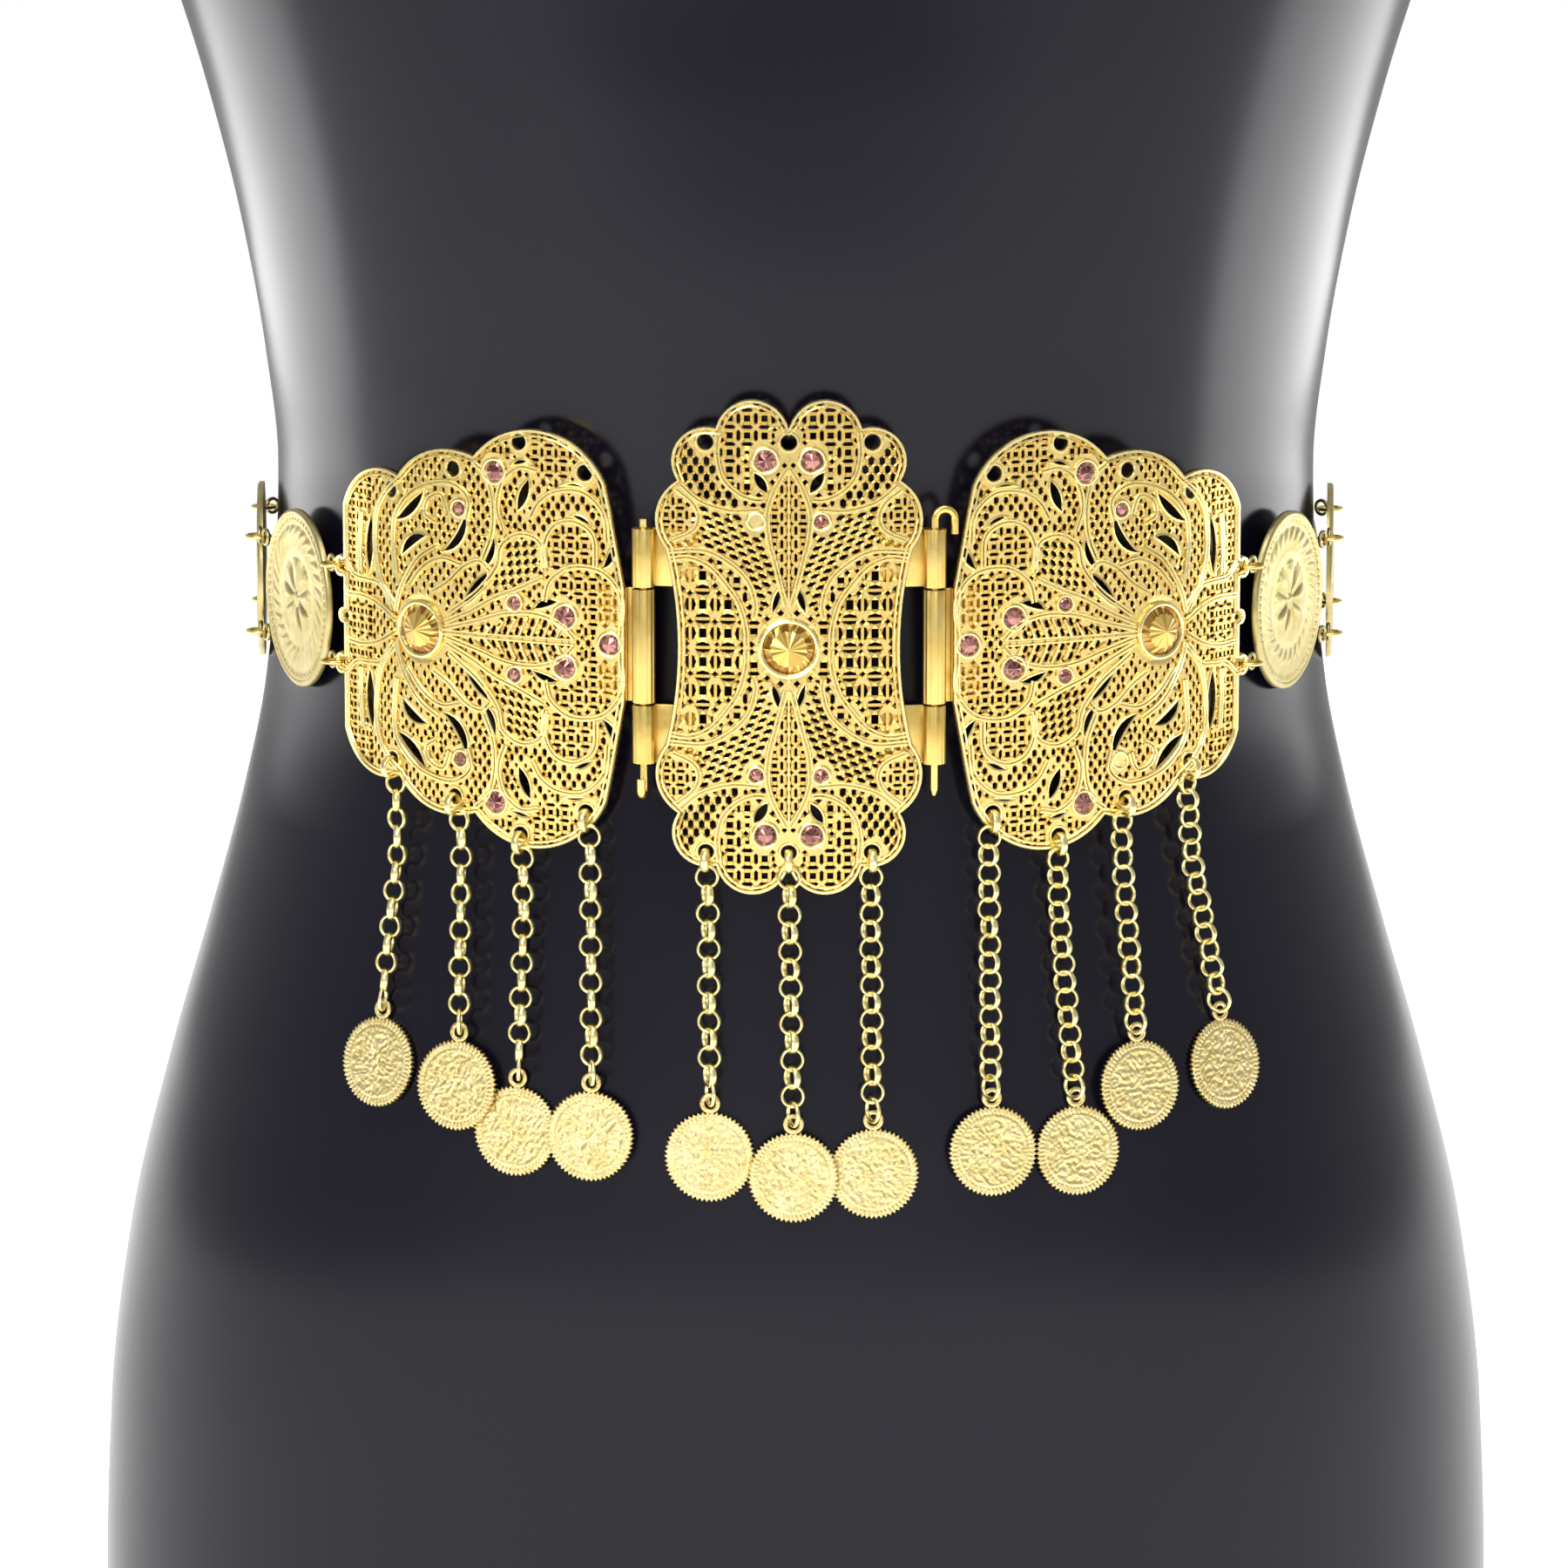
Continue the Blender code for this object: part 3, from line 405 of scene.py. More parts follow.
def offsetCurve(points, distance, closed=False):
    points = np.asarray(points, float)
    if closed:
        ahead = np.roll(points, -1, axis=0) - np.roll(points, 1, axis=0)
    else:
        ahead = np.gradient(points, axis=0)
    ahead = unit(ahead)
    return points + np.stack([-ahead[:, 1], ahead[:, 0]], axis=1) * distance


def isInside(polygon, places):
    places, polygon = np.atleast_2d(places), np.asarray(polygon, float)
    inside = np.zeros(len(places), bool)
    for (x1, y1), (x2, y2) in zip(polygon, np.roll(polygon, -1, axis=0)):
        spans = (y1 > places[:, 1]) != (y2 > places[:, 1])
        if spans.any():
            cross = x1 + (places[:, 1] - y1) * (x2 - x1) / ((y2 - y1) or 1e-12)
            inside ^= spans & (places[:, 0] < cross)
    return inside


def lens(width, height, steps=3):  # a pointed oval
    w, h = width / 2.0, height / 2.0
    half = [(w * math.sin(math.pi * k / steps), h * math.cos(math.pi * k / steps)) for k in range(steps)]
    return np.array(half + [(-x, -y) for x, y in half])


def square(side):
    s = side / 2.0
    return np.array([(-s, -s), (s, -s), (s, s), (-s, s)])


def turned(points, degrees):
    c, s = math.cos(math.radians(degrees)), math.sin(math.radians(degrees))
    return points @ np.array([[c, s], [-s, c]])


# squares, with a pointed oval between each two
def circleNet(pitchU, pitchV, hole, petal, span=0.62):
    upright, level = lens(petal, pitchV * span), lens(petal, pitchU * span)[::-1, ::-1]
    cell = [((0.0, 0.0), square(hole)), ((0.5 * pitchU, 0.0), upright), ((0.0, 0.5 * pitchV), level)]
    return cell, (pitchU, pitchV), 0.0


# the same net, each oval split by a rib
def ribbedNet(pitchU, pitchV, hole, petal, rib, stretch=(0.86, 1.14), spans=(0.45, 0.58)):
    cell = [((0.0, 0.0), square(hole) * stretch)]
    for side in (-1.0, 1.0):
        upright, level = halfLens(petal, pitchV * spans[0]), halfLens(petal, pitchU * spans[1])[:, ::-1]
        cell += [((0.5 * pitchU + side * (rib + petal) / 2.0, 0.0), upright * (side, 1.0)),
                 ((0.0, 0.5 * pitchV + side * (rib + petal) / 2.0), level * (1.0, side))]
    return cell, (pitchU, pitchV), 0.0


def halfLens(width, height, steps=4):  # one side of a pointed oval, bulging towards +X
    angles = [math.pi * k / steps for k in range(steps + 1)]
    return np.array([(width * math.sin(a) - width / 2.0, -height / 2.0 * math.cos(a)) for a in angles])


def almondNet(pitchU, pitchV, width, height):  # ovals in staggered rows
    return [((0.0, 0.0), lens(width, height))], (pitchU, pitchV), 0.5


def netHoles(net, reach=60.0):  # all holes of a net round its centre: their places and shapes
    cell, (pitchU, pitchV), shift = net
    i, j = np.meshgrid(np.arange(-int(reach / pitchU), int(reach / pitchU) + 1),
                       np.arange(-int(reach / pitchV), int(reach / pitchV) + 1))
    corners = np.stack([(i + shift * (j % 2)) * pitchU, j * pitchV], axis=-1).reshape(-1, 2)
    places = np.concatenate([corners + np.array(place) for place, _ in cell])
    return places, [shape for _, shape in cell for _ in corners]


nets = {
    "fine": netHoles(circleNet(3.6, 3.6, 1.3, 0.95)),
    "close": netHoles(circleNet(3.2, 3.2, 1.05, 0.78)),
    "small": netHoles(circleNet(2.9, 2.9, 0.95, 0.72)),
    "ribbed": netHoles(ribbedNet(5.25, 6.1, 1.75, 0.80, 0.62)),
    "almond": netHoles(almondNet(2.3, 1.75, 1.35, 2.0)),
    "drop": netHoles(almondNet(2.2, 1.6, 1.0, 1.55)),
    "wave": netHoles(almondNet(2.8, 1.3, 1.85, 0.95)),
}


def treeOf(places):
    tree = kdtree.KDTree(len(places))
    for index, place in enumerate(places):
        tree.insert((place[0], place[1], 0.0), index)
    tree.balance()
    return tree


def nearest(tree, places):  # how far each place is from the tree's nearest point
    return np.array([tree.find((u, v, 0.0))[2] for u, v in places])


def cutHoles(design):  # net holes that keep clear of wires, gaps, stones and rims
    look = openwork
    lines = [np.asarray(loop, float) for loop in [design["outline"]] + list(design["gaps"])]
    lines = [np.vstack([line, line[:1]]) for line in lines] + design["wires"]
    spots = []
    for line in lines:
        for a, b in zip(line, line[1:]):
            steps = max(2, int(np.linalg.norm(b - a) / look["lineStep"]))
            spots += [a + (b - a) * t for t in np.linspace(0, 1, steps)]
    tree = treeOf(spots)
    discs = np.array(design["discs"])
    holes = []
    for area, netName, centre, degrees in design["areas"]:
        places, shapes = nets[netName]
        places = turned(places, degrees) + centre
        fits = isInside(design["outline"], places)
        if area is not None:
            fits &= isInside(area, places)
        for other in design["gaps"] + (design["claimed"] if area is None else []):
            fits &= ~isInside(other, places)
        for index in np.flatnonzero(fits):
            place = places[index]
            away = np.linalg.norm(discs[:, :2] - place, axis=1) - discs[:, 2]
            for scale in look["sizes"]:
                hole = turned(shapes[index] * scale, degrees) + place
                if away.min() < np.abs(hole - place).max() + look["discGap"]:
                    continue
                if nearest(tree, [*hole, place]).min() > look["margin"]:
                    holes.append(hole)
                    break
    holes += design["slots"]
    fillBlanks(design, holes, tree, discs)
    return holes


# small square holes where the nets leave a blank spot, the larger ones first
def fillBlanks(design, holes, tree, discs):
    look = openwork
    outline = np.asarray(design["outline"])
    (u0, _), (u1, v1) = outline.min(axis=0), outline.max(axis=0)
    spots = np.arange(u0, u1, look["grid"]), np.arange(look["middleGap"], v1, look["grid"])
    grid = np.stack(np.meshgrid(*spots), axis=-1).reshape(-1, 2)
    grid = grid[isInside(outline, grid)]
    for gap in design["gaps"]:
        grid = grid[~isInside(gap, grid)]
    if design["fourfold"]:
        grid = grid[grid[:, 0] > look["middleGap"]]
    away = (np.linalg.norm(grid[:, None] - discs[None, :, :2], axis=2) - discs[:, 2]).min(axis=1)
    edge = nearest(tree, grid)
    toCorner = nearest(treeOf(np.concatenate(holes)), grid)
    toMiddle = nearest(treeOf([hole.mean(axis=0) for hole in holes]), grid)
    diamond = np.array([(0.0, -1.0), (1.0, 0.0), (0.0, 1.0), (-1.0, 0.0)])
    ways = [(1.0, 1.0), (1.0, -1.0)] + ([(-1.0, 1.0), (-1.0, -1.0)] if design["fourfold"] else [])
    for size in design["fill"]:
        fits = (away > size + 0.1) & (edge > size * 0.9 + look["fillGap"])
        fits &= (toCorner > size + look["cornerGap"]) & (toMiddle > size + look["holeGap"])
        while fits.any():
            place = grid[np.argmax(fits)]
            holes.extend(diamond * size + place * way for way in ways)
            apart = np.linalg.norm(grid - place, axis=1)
            fits &= apart > 2.0 * size + look["fillGap"]
            toMiddle = np.minimum(toMiddle, apart - size)


# flat triangles between the outline and all holes, with a shoulder round each net hole
def openworkSheet(design, holes):
    points, edges, groups, heights = [], [], [], []

    def addLoop(loop, group, height, joined=True):
        start = len(points)
        for point in loop:
            points.append(Vector((float(point[0]), float(point[1]))))
            groups.append(group)
            heights.append(height)
        if joined:
            edges.extend((start + k, start + (k + 1) % len(loop)) for k in range(len(loop)))

    addLoop(design["outline"], -1, front)
    shapes = {-1: np.asarray(design["outline"])}
    for gap in design["gaps"] + design["rounds"]:
        addLoop(gap, len(shapes) - 1, front)
        shapes[len(shapes) - 1] = np.asarray(gap)
    middles = treeOf([hole.mean(axis=0) for hole in holes])

    def holesRound(place, grow=1.0):  # is the place in one of the net holes near it
        for _, index, _ in middles.find_n((place[0], place[1], 0.0), 4):
            middle = holes[index].mean(axis=0)
            if isInside(middle + (holes[index] - middle) * grow, place)[0]:
                return True
        return False

    for hole in holes:
        middle = hole.mean(axis=0)
        away = hole - middle
        length = np.linalg.norm(away, axis=1, keepdims=True)
        addLoop(hole, len(shapes) - 1, front - openwork["chamfer"])
        shoulder = middle + away * (1.0 + openwork["shoulder"] / length)
        addLoop([place for place in shoulder if not holesRound(place, 1.12)], -2, front, joined=False)
        shapes[len(shapes) - 1] = None
    flat, _, triangles, source, _, _ = geometry.delaunay_2d_cdt(points, edges, [], 0, 1e-5)
    group = [min((groups[index] for index in origin), default=-2) for origin in source]
    height = [min((heights[index] for index in origin), default=front) for origin in source]
    kept = []
    for triangle in triangles:
        owners = {group[index] for index in triangle}
        owner = owners.pop() if len(owners) == 1 else -2
        middle = sum((flat[index] for index in triangle), Vector((0.0, 0.0))) / 3.0
        if owner >= 0 and shapes[owner] is None or holesRound(middle):
            continue
        if owner >= -1:
            inside = isInside(shapes[owner], (middle.x, middle.y))[0]
            if inside == (owner >= 0):
                continue
        kept.append(tuple(triangle))
    flat = np.array([tuple(point) for point in flat])
    return flat, np.array(height), kept


# adds the sheet with its underside and the walls of every opening
def solidSheet(flat, height, triangles, soup):
    count = len(flat)
    top = lifted(flat, height)
    bottom = lifted(flat, openwork["back"])
    faces, sides = [], {}
    for a, b, c in triangles:
        ab, ac = flat[b] - flat[a], flat[c] - flat[a]
        if ab[0] * ac[1] - ab[1] * ac[0] < 0.0:
            b, c = c, b
        faces.append((a, b, c))
        faces.append((c + count, b + count, a + count))
        for first, second in ((a, b), (b, c), (c, a)):
            sides[(first, second)] = True
    for first, second in sides:
        if (second, first) not in sides:
            faces.append((first, first + count, second + count, second))
    used = sorted({corner for face in faces for corner in face})
    renumber = {corner: index for index, corner in enumerate(used)}
    soup.add(np.vstack([top, bottom])[used], [tuple(renumber[corner] for corner in face) for face in faces])


def bentPiece(name, soup, way, nodes, material=None, slotName="gold"):
    places = np.concatenate(soup.points) * mm
    places[:, 0] *= way
    faces = soup.faces if way > 0 else [face[::-1] for face in soup.faces]
    piece = meshPiece(name, beltPoints(places), faces, smooth=False)
    if slotName == "stone":
        tintFacets(piece, len(name))
    else:
        # painted shade: the lower a point of metal sits, the darker its gold, so hollows look shaded and
        # wire tops look lit
        low, high = front - openwork["chamfer"], front + openwork["reliefTop"]
        shades = np.clip((places[:, 2] / mm - low) / (high - low), 0.0, 1.0)
        layer = piece.data.color_attributes.new("reliefPaintedShade", "FLOAT_COLOR", "POINT")
        layer.data.foreach_set("color", np.stack([shades] * 3 + [np.ones(len(shades))], axis=1).ravel())
    return finishPiece(piece, material or openworkGold, nodes)


def addWires(design, soup):
    look = openwork
    for curve in design["wires"]:
        for shift in (-look["wireApart"], look["wireApart"]):
            soup.add(*tube(lifted(offsetCurve(curve, shift), front + look["wireRise"]), look["wire"]))
    for inset, rise, radius, sides in look["rims"]:
        rim = offsetCurve(design["outline"], -inset, closed=True)
        soup.add(*tube(lifted(rim, front + rise), radius, sides, closed=True))
    for gap in design["gaps"]:
        soup.add(*tube(lifted(gap, front), look["gapWire"], 5, closed=True))
    ringPoints, ringMesh = torusParts(*look["eyeRing"], 16, 6)
    for u, v in design["eyes"]:
        soup.add(ringPoints + (u, v, front), ringMesh)


def pierced(label, design):  # one plate's metal: the sheet with its wires, rims and eyelets
    holes = cutHoles(design)
    print(label, "plate: holes", len(holes))
    metal = Soup()
    solidSheet(*openworkSheet(design, holes), metal)
    addWires(design, metal)
    return metal


sidePlate = {
    "corners": [(34.2, 12.0, 0.0, 1), (37.2, 28.4, 0.0, 1), (38.4, 34.0, 8.6, 9), (68.6, 38.4, 3.4, 5),
                (89.1, 32.6, 4.2, 5), (108.1, 24.4, 0.0, 1), (108.1, 12.5, 3.9, 6), (108.1, 8.7, 0.0, 1),
                (108.1, 1.7, 0.0, 1)],
    "gaps": [(97.8, 23.6, 98.7, 10.0, 1.7, 1.3), (81.4, 30.2, 90.0, 22.8, 0.5, 2.0),
             (81.0, 20.2, 88.2, 15.2, 2.5, -0.1), (70.8, 26.4, 77.0, 17.2, -0.7, 3.0),
             (63.8, 21.6, 66.0, 14.6, 1.5, 1.4), (65.2, 13.9, 71.4, 5.9, 1.2, 1.4),
             (55.5, 34.4, 58.2, 27.2, 1.2, 1.3), (48.8, 8.4, 54.8, 6.4, 1.5, 0.3),
             (36.4, 22.0, 39.4, 15.8, 0.2, 1.6), (42.6, 32.9, 48.4, 33.3, 0.85, 0.0),
             (41.4, 24.9, 46.2, 27.0, 1.0, 0.2), (55.4, 37.9, 59.9, 36.8, 0.9, 0.2)],
    "eyes": [(42.9, 36.2), (57.8, 42.0), (73.8, 35.2), (91.2, 29.2)],
    "wires": [
        [(35.2, 1.8), (34.9, 9.8), (39.0, 15.2), (45.9, 16.0), (50.7, 12.8), (52.0, 8.4)],
        [(40.6, 16.4), (41.1, 22.9), (45.2, 25.7), (49.6, 24.7), (52.0, 20.5), (51.6, 15.6)],
        [(38.0, 21.5), (38.9, 27.9), (43.3, 32.0), (49.0, 32.0), (52.9, 29.7), (55.2, 26.0)],
        [(52.0, 14.8), (52.9, 20.8), (57.5, 22.4), (61.9, 19.7), (63.2, 14.9), (67.8, 9.4), (75.0, 4.2)],
        [(52.4, 13.4), (58.3, 10.6), (63.7, 8.4), (69.3, 5.2), (76.0, 2.2)],
        [(45.2, 0.8), (48.5, 3.9), (54.3, 5.6), (61.0, 5.2), (67.9, 3.1), (76.0, 0.9)],
        [(53.5, 36.2), (57.8, 36.6), (61.6, 33.4), (62.9, 28.0), (61.4, 23.0)],
        [(66.4, 16.4), (64.2, 22.3), (64.0, 29.1), (65.6, 34.4), (68.6, 37.0)],
        [(70.5, 24.6), (69.8, 28.9), (73.3, 31.8), (78.5, 31.8), (84.8, 29.4), (89.6, 24.5), (90.6, 18.8),
         (89.9, 11.4)],
        [(75.0, 25.6), (76.8, 29.4), (80.4, 28.2), (81.2, 25.2), (78.6, 23.6)],
        [(64.9, 14.2), (67.2, 16.0), (71.0, 14.6), (75.2, 10.9), (79.4, 8.4)],
        [(71.6, 14.8), (77.0, 15.8), (82.0, 13.4), (86.4, 8.6)],
        [(78.2, 18.4), (83.6, 15.0), (88.2, 8.6), (90.0, 3.4)],
        [(89.0, 31.6), (93.0, 28.4), (95.8, 24.0), (96.4, 16.7), (94.6, 9.3), (90.4, 4.6)],
        [(90.6, 3.4), (94.4, 8.2), (98.6, 9.0), (103.4, 9.4), (107.0, 12.0)],
        [(90.2, 1.4), (95.2, 4.0), (100.8, 5.2), (107.0, 5.0)],
        [(101.2, 23.4), (101.8, 16.0), (101.6, 10.4)],
    ],
    "stones": [(63.6, 35.4, 2.2), (72.2, 26.9, 1.4), (59.0, 7.7, 1.4), (47.4, 5.4, 2.2)],
    "missing": (72.2, -26.9),  # the stone is gone from this cup of the right plate
    "amber": (82.7, 5.45), "rose": (37.5, 2.2),
    "lobe": [(36.0, 34.0), (43.3, 32.6), (49.5, 32.6), (53.0, 36.8), (58.0, 37.4), (62.5, 34.5),
             (68.0, 38.6), (60.0, 60.0), (36.0, 60.0)],
    "edge": [(98.6, 0.0), (98.6, 40.0), (115.0, 40.0), (115.0, 0.0)],
}
centrePlate = {
    "corners": [(0.0, 46.5, 6.1, 7), (15.1, 46.6, 4.8, 5), (23.2, 35.4, 3.4, 5), (25.6, 20.8, 0.0, 1)],
    "gaps": [(1.6, 13.4, 3.5, 7.2, 0.8, 0.8), (4.3, 32.8, 7.3, 37.4, 1.2, 1.1)],
    "eyes": [(0.0, 43.6), (0.0, -43.6), (17.2, 43.6), (17.2, -43.6), (-17.2, 43.6), (-17.2, -43.6)],
    "wires": [
        [(14.4, 45.8), (14.8, 40.8), (13.5, 35.8), (10.2, 32.6), (6.8, 31.4), (4.9, 31.6)],
        [(22.4, 34.4), (18.2, 31.0), (12.2, 29.2), (6.2, 29.4)],
        [(23.4, 33.6), (19.8, 30.6), (18.6, 27.4), (20.0, 24.6), (24.2, 22.6)],
        [(0.4, 38.0), (2.9, 33.5), (4.4, 28.7), (4.1, 23.0), (2.6, 17.0), (0.6, 9.0)],
        [(24.6, 20.4), (17.5, 20.6), (12.2, 18.0), (8.4, 14.1), (6.9, 9.3), (7.2, 6.4)],
        [(24.6, 18.6), (20.4, 19.0), (16.3, 17.2), (12.9, 13.4), (10.3, 9.4), (8.9, 4.4), (8.7, 0.4)],
    ],
    "stones": [(4.8, 39.8, 2.2), (6.7, 27.0, 1.4)],
    "missing": (-6.7, 27.0),
}


def gapShape(gap, steps=8):
    u1, v1, u2, v2, there, back = gap
    return arcPoints((u1, v1), (u2, v2), there, steps) + arcPoints((u2, v2), (u1, v1), back, steps)


def roundShape(u, v, radius, sides=14):
    return circle(radius, sides) + (u, v)


def bothWays(points, ways):
    return [np.asarray(points, float) * way for way in ways]


def spreadOut(rows, ways):  # a row of places, u and v turned each way and the rest kept
    return [(u * s, v * t, *more) for u, v, *more in rows for s, t in ways]


# a pointed stone: a ring of small facets round a cone with a ridge to every second one
def facetedStone(soup, u, v, base, radius, height, sides, waist=(0.93, 1.0), rise=(0.52, 0.40)):
    odd = np.arange(sides) % 2
    inner = circle(1.0, sides) * (0.70 * radius * np.where(odd, waist[1], waist[0]))[:, None]
    points = np.vstack([lifted(circle(radius, sides), base),
                        lifted(inner, base + height * np.where(odd, rise[1], rise[0])),
                        [[0.0, 0.0, base + height]]]) + (u, v, 0.0)
    faces = []
    for k in range(sides):
        j = (k + 1) % sides
        faces += [(k, j, sides + j), (k, sides + j, sides + k), (sides + k, sides + j, 2 * sides)]
    faces.append(tuple(reversed(range(sides))))
    soup.add(points, faces)


# painted glints: brightness choices for the cone's facets, mostly light, and for the ring's facets, mostly
# dark
paintedFacetGlints = {"cone": (0.5, 0.6, 0.75, 0.9, 1.0, 1.0), "ring": (0.0, 0.05, 0.15, 0.3, 0.45, 0.9)}


def tintFacets(piece, seed):  # painted reflections: each facet gets its own painted brightness, the cone's facets lighter and the ring's darker, standing in for the light a foiled stone throws back
    shades = random.Random(seed)
    layer = piece.data.color_attributes.new("facetPaintedGlint", "FLOAT_COLOR", "CORNER")
    for face in piece.data.polygons:
        shade = shades.choice(paintedFacetGlints["cone" if face.index % 3 == 2 else "ring"])
        for corner in face.loop_indices:
            layer.data[corner].color = (shade, shade, shade, 1.0)


cupLook = {"sides": 24, "below": 0.4, "above": 0.15, "wireRise": 0.6, "smallWire": 0.38, "smallRoom": 0.4}


def stoneCup(soup, u, v, radius, wire):
    points, faces = torusParts(radius, wire, 32, 8)
    soup.add(points + (u, v, front + wire * cupLook["wireRise"]), faces)
    disc = circle(radius, cupLook["sides"]) + (u, v)
    low, high = lifted(disc, front - cupLook["below"]), lifted(disc, front + cupLook["above"])
    soup.add(np.vstack([low, high]), ringFaces(2, cupLook["sides"]))


def smallStone(soup, u, v, radius, height=0.9):
    facetedStone(soup, u, v, front + cupLook["above"], radius, height, 16)


def addRibs(soup, ribs, radius):
    for rib in ribs:
        line = np.asarray(rib, float)
        line = line[0] + (line[-1] - line[0]) * np.linspace(0, 1, 8)[:, None]
        soup.add(*tube(lifted(line, front + openwork["rib"]), radius))


leafLook = {"slot": (0.95, 1.9), "turn": 24.0, "pitch": 2.8, "wire": 0.30, "end": 72.0,
            "clear": ((59.0, 7.7), 3.2)}


def leafSlots():  # slots between the leaf's ribs, clear of the stone beside it
    look, slots = leafLook, []
    place, room = look["clear"]
    for k in range(8):
        step = look["pitch"] * k
        for s in (1, -1):
            for u, v in [(50.2 + step, 1.5)] + ([(49.4 + step, 3.6)] if k < 5 else []):
                if np.linalg.norm(np.array((u, v)) - place) > room and u < look["end"]:
                    slots.append(turned(lens(*look["slot"]), look["turn"] * s) + (u, v * s))
    return slots


def leafRibs():
    ribs = [[(45.4, 0.55), (77.0, 0.4)]]
    for k in range(9):
        u = 49.5 + leafLook["pitch"] * k
        reach = 5.2 - 0.055 * (u - 54.0) ** 2 * (0.35 if u > 54 else 1.0)
        ribs += [[(u, 0.5 * s), (u - 2.0, max(1.0, reach) * s)] for s in (1, -1)]
    return ribs + [[(45.4, -0.55), (77.0, -0.4)]]


def makeSidePlates():
    look = sidePlate
    top = throughCorners(look["corners"])
    nub = arcPoints(top[-1], top[-1] * (1.0, -1.0), 2.3, 12)
    ways = [(1.0, 1.0), (1.0, -1.0)]
    curves = [smoothCurve(corners) for corners in look["wires"]]
    petals = (
        (np.vstack([curves[0], [(47.0, 5.0), (44.0, 1.0)]]), "close", (44.5, 8.8), 0.0),
        (curves[1], "close", (46.3, 20.6), 0.0),
        (np.vstack([curves[3], curves[4][::-1]]), "wave", (60.0, 14.0), -52.0))
    areas = [(area * way, net, np.array(centre) * way, degrees * way[1])
             for area, net, centre, degrees in petals for way in ways]
    claimed = [area[0] for area in areas]
    for way in ways:
        lobe, edge = np.array(look["lobe"]) * way, np.array(look["edge"]) * way
        areas += [(lobe, "close", np.array((51.0, 40.0)) * way, 0.0),
                  (edge, "small", np.array((104.8, 1.6)) * way, 0.0)]
        claimed += [lobe, edge, np.vstack([curves[5], [(76.0, 0.0), (45.0, 0.0)]]) * way]
    areas.append((None, "drop", np.array((60.0, 0.0)), 0.0))
    eyes, stones = spreadOut(look["eyes"], ways), spreadOut(look["stones"], ways)
    (amberAt, amberRadius), (roseAt, roseRadius) = look["amber"], look["rose"]
    metal = pierced("side", {
        "outline": np.array(top + nub[1:] + mirrored(top, v=-1.0)), "areas": areas, "claimed": claimed,
        "gaps": [shape for gap in look["gaps"] for shape in bothWays(gapShape(gap), ways)],
        "rounds": [roundShape(u, v, openwork["eye"]) for u, v in eyes], "eyes": eyes,
        "wires": [curve * way for curve in curves for way in ways],
        "slots": leafSlots(), "fourfold": False, "fill": (0.55, 0.42),
        "discs": [(u, v, r + openwork["stoneRoom"]) for u, v, r in stones]
        + [(roseAt, 0.0, 3.4), (amberAt, 0.0, 7.2)] + [(u, v, openwork["eyeRoom"]) for u, v in eyes],
    })
    addRibs(metal, leafRibs(), leafLook["wire"])
    lugPoints, lugMesh = torusParts(2.05, 0.5, 16, 8)
    for s in (1, -1):
        metal.add(lugPoints * (1, 1, 0.9) + (110.0, 10.6 * s, 1.9), lugMesh)
    stoneCup(metal, amberAt, 0.0, amberRadius + 0.3, 0.55)
    stoneCup(metal, roseAt, 0.0, roseRadius + 0.3, 0.42)
    for u, v, radius in stones:
        stoneCup(metal, u, v, radius + cupLook["smallRoom"], cupLook["smallWire"])
    for name, way in (("Right", 1.0), ("Left", -1.0)):
        bentPiece("plate" + name + "Openwork", metal, way, ["plate_" + name.lower()])
        amber, rose = Soup(), Soup()
        facetedStone(amber, amberAt, 0.0, front + 0.1, amberRadius, 2.3, 32)
        smallStone(rose, roseAt, 0.0, roseRadius, 1.0)
        for u, v, radius in stones:
            if way < 0 or (u, v) != look["missing"]:
                smallStone(rose, u, v, radius)
        bentPiece("amber" + name + "Openwork", amber, way, ["stone_" + name.lower()], amberStone, "stone")
        bentPiece("rose" + name + "Openwork", rose, way, [], roseStone, "stone")


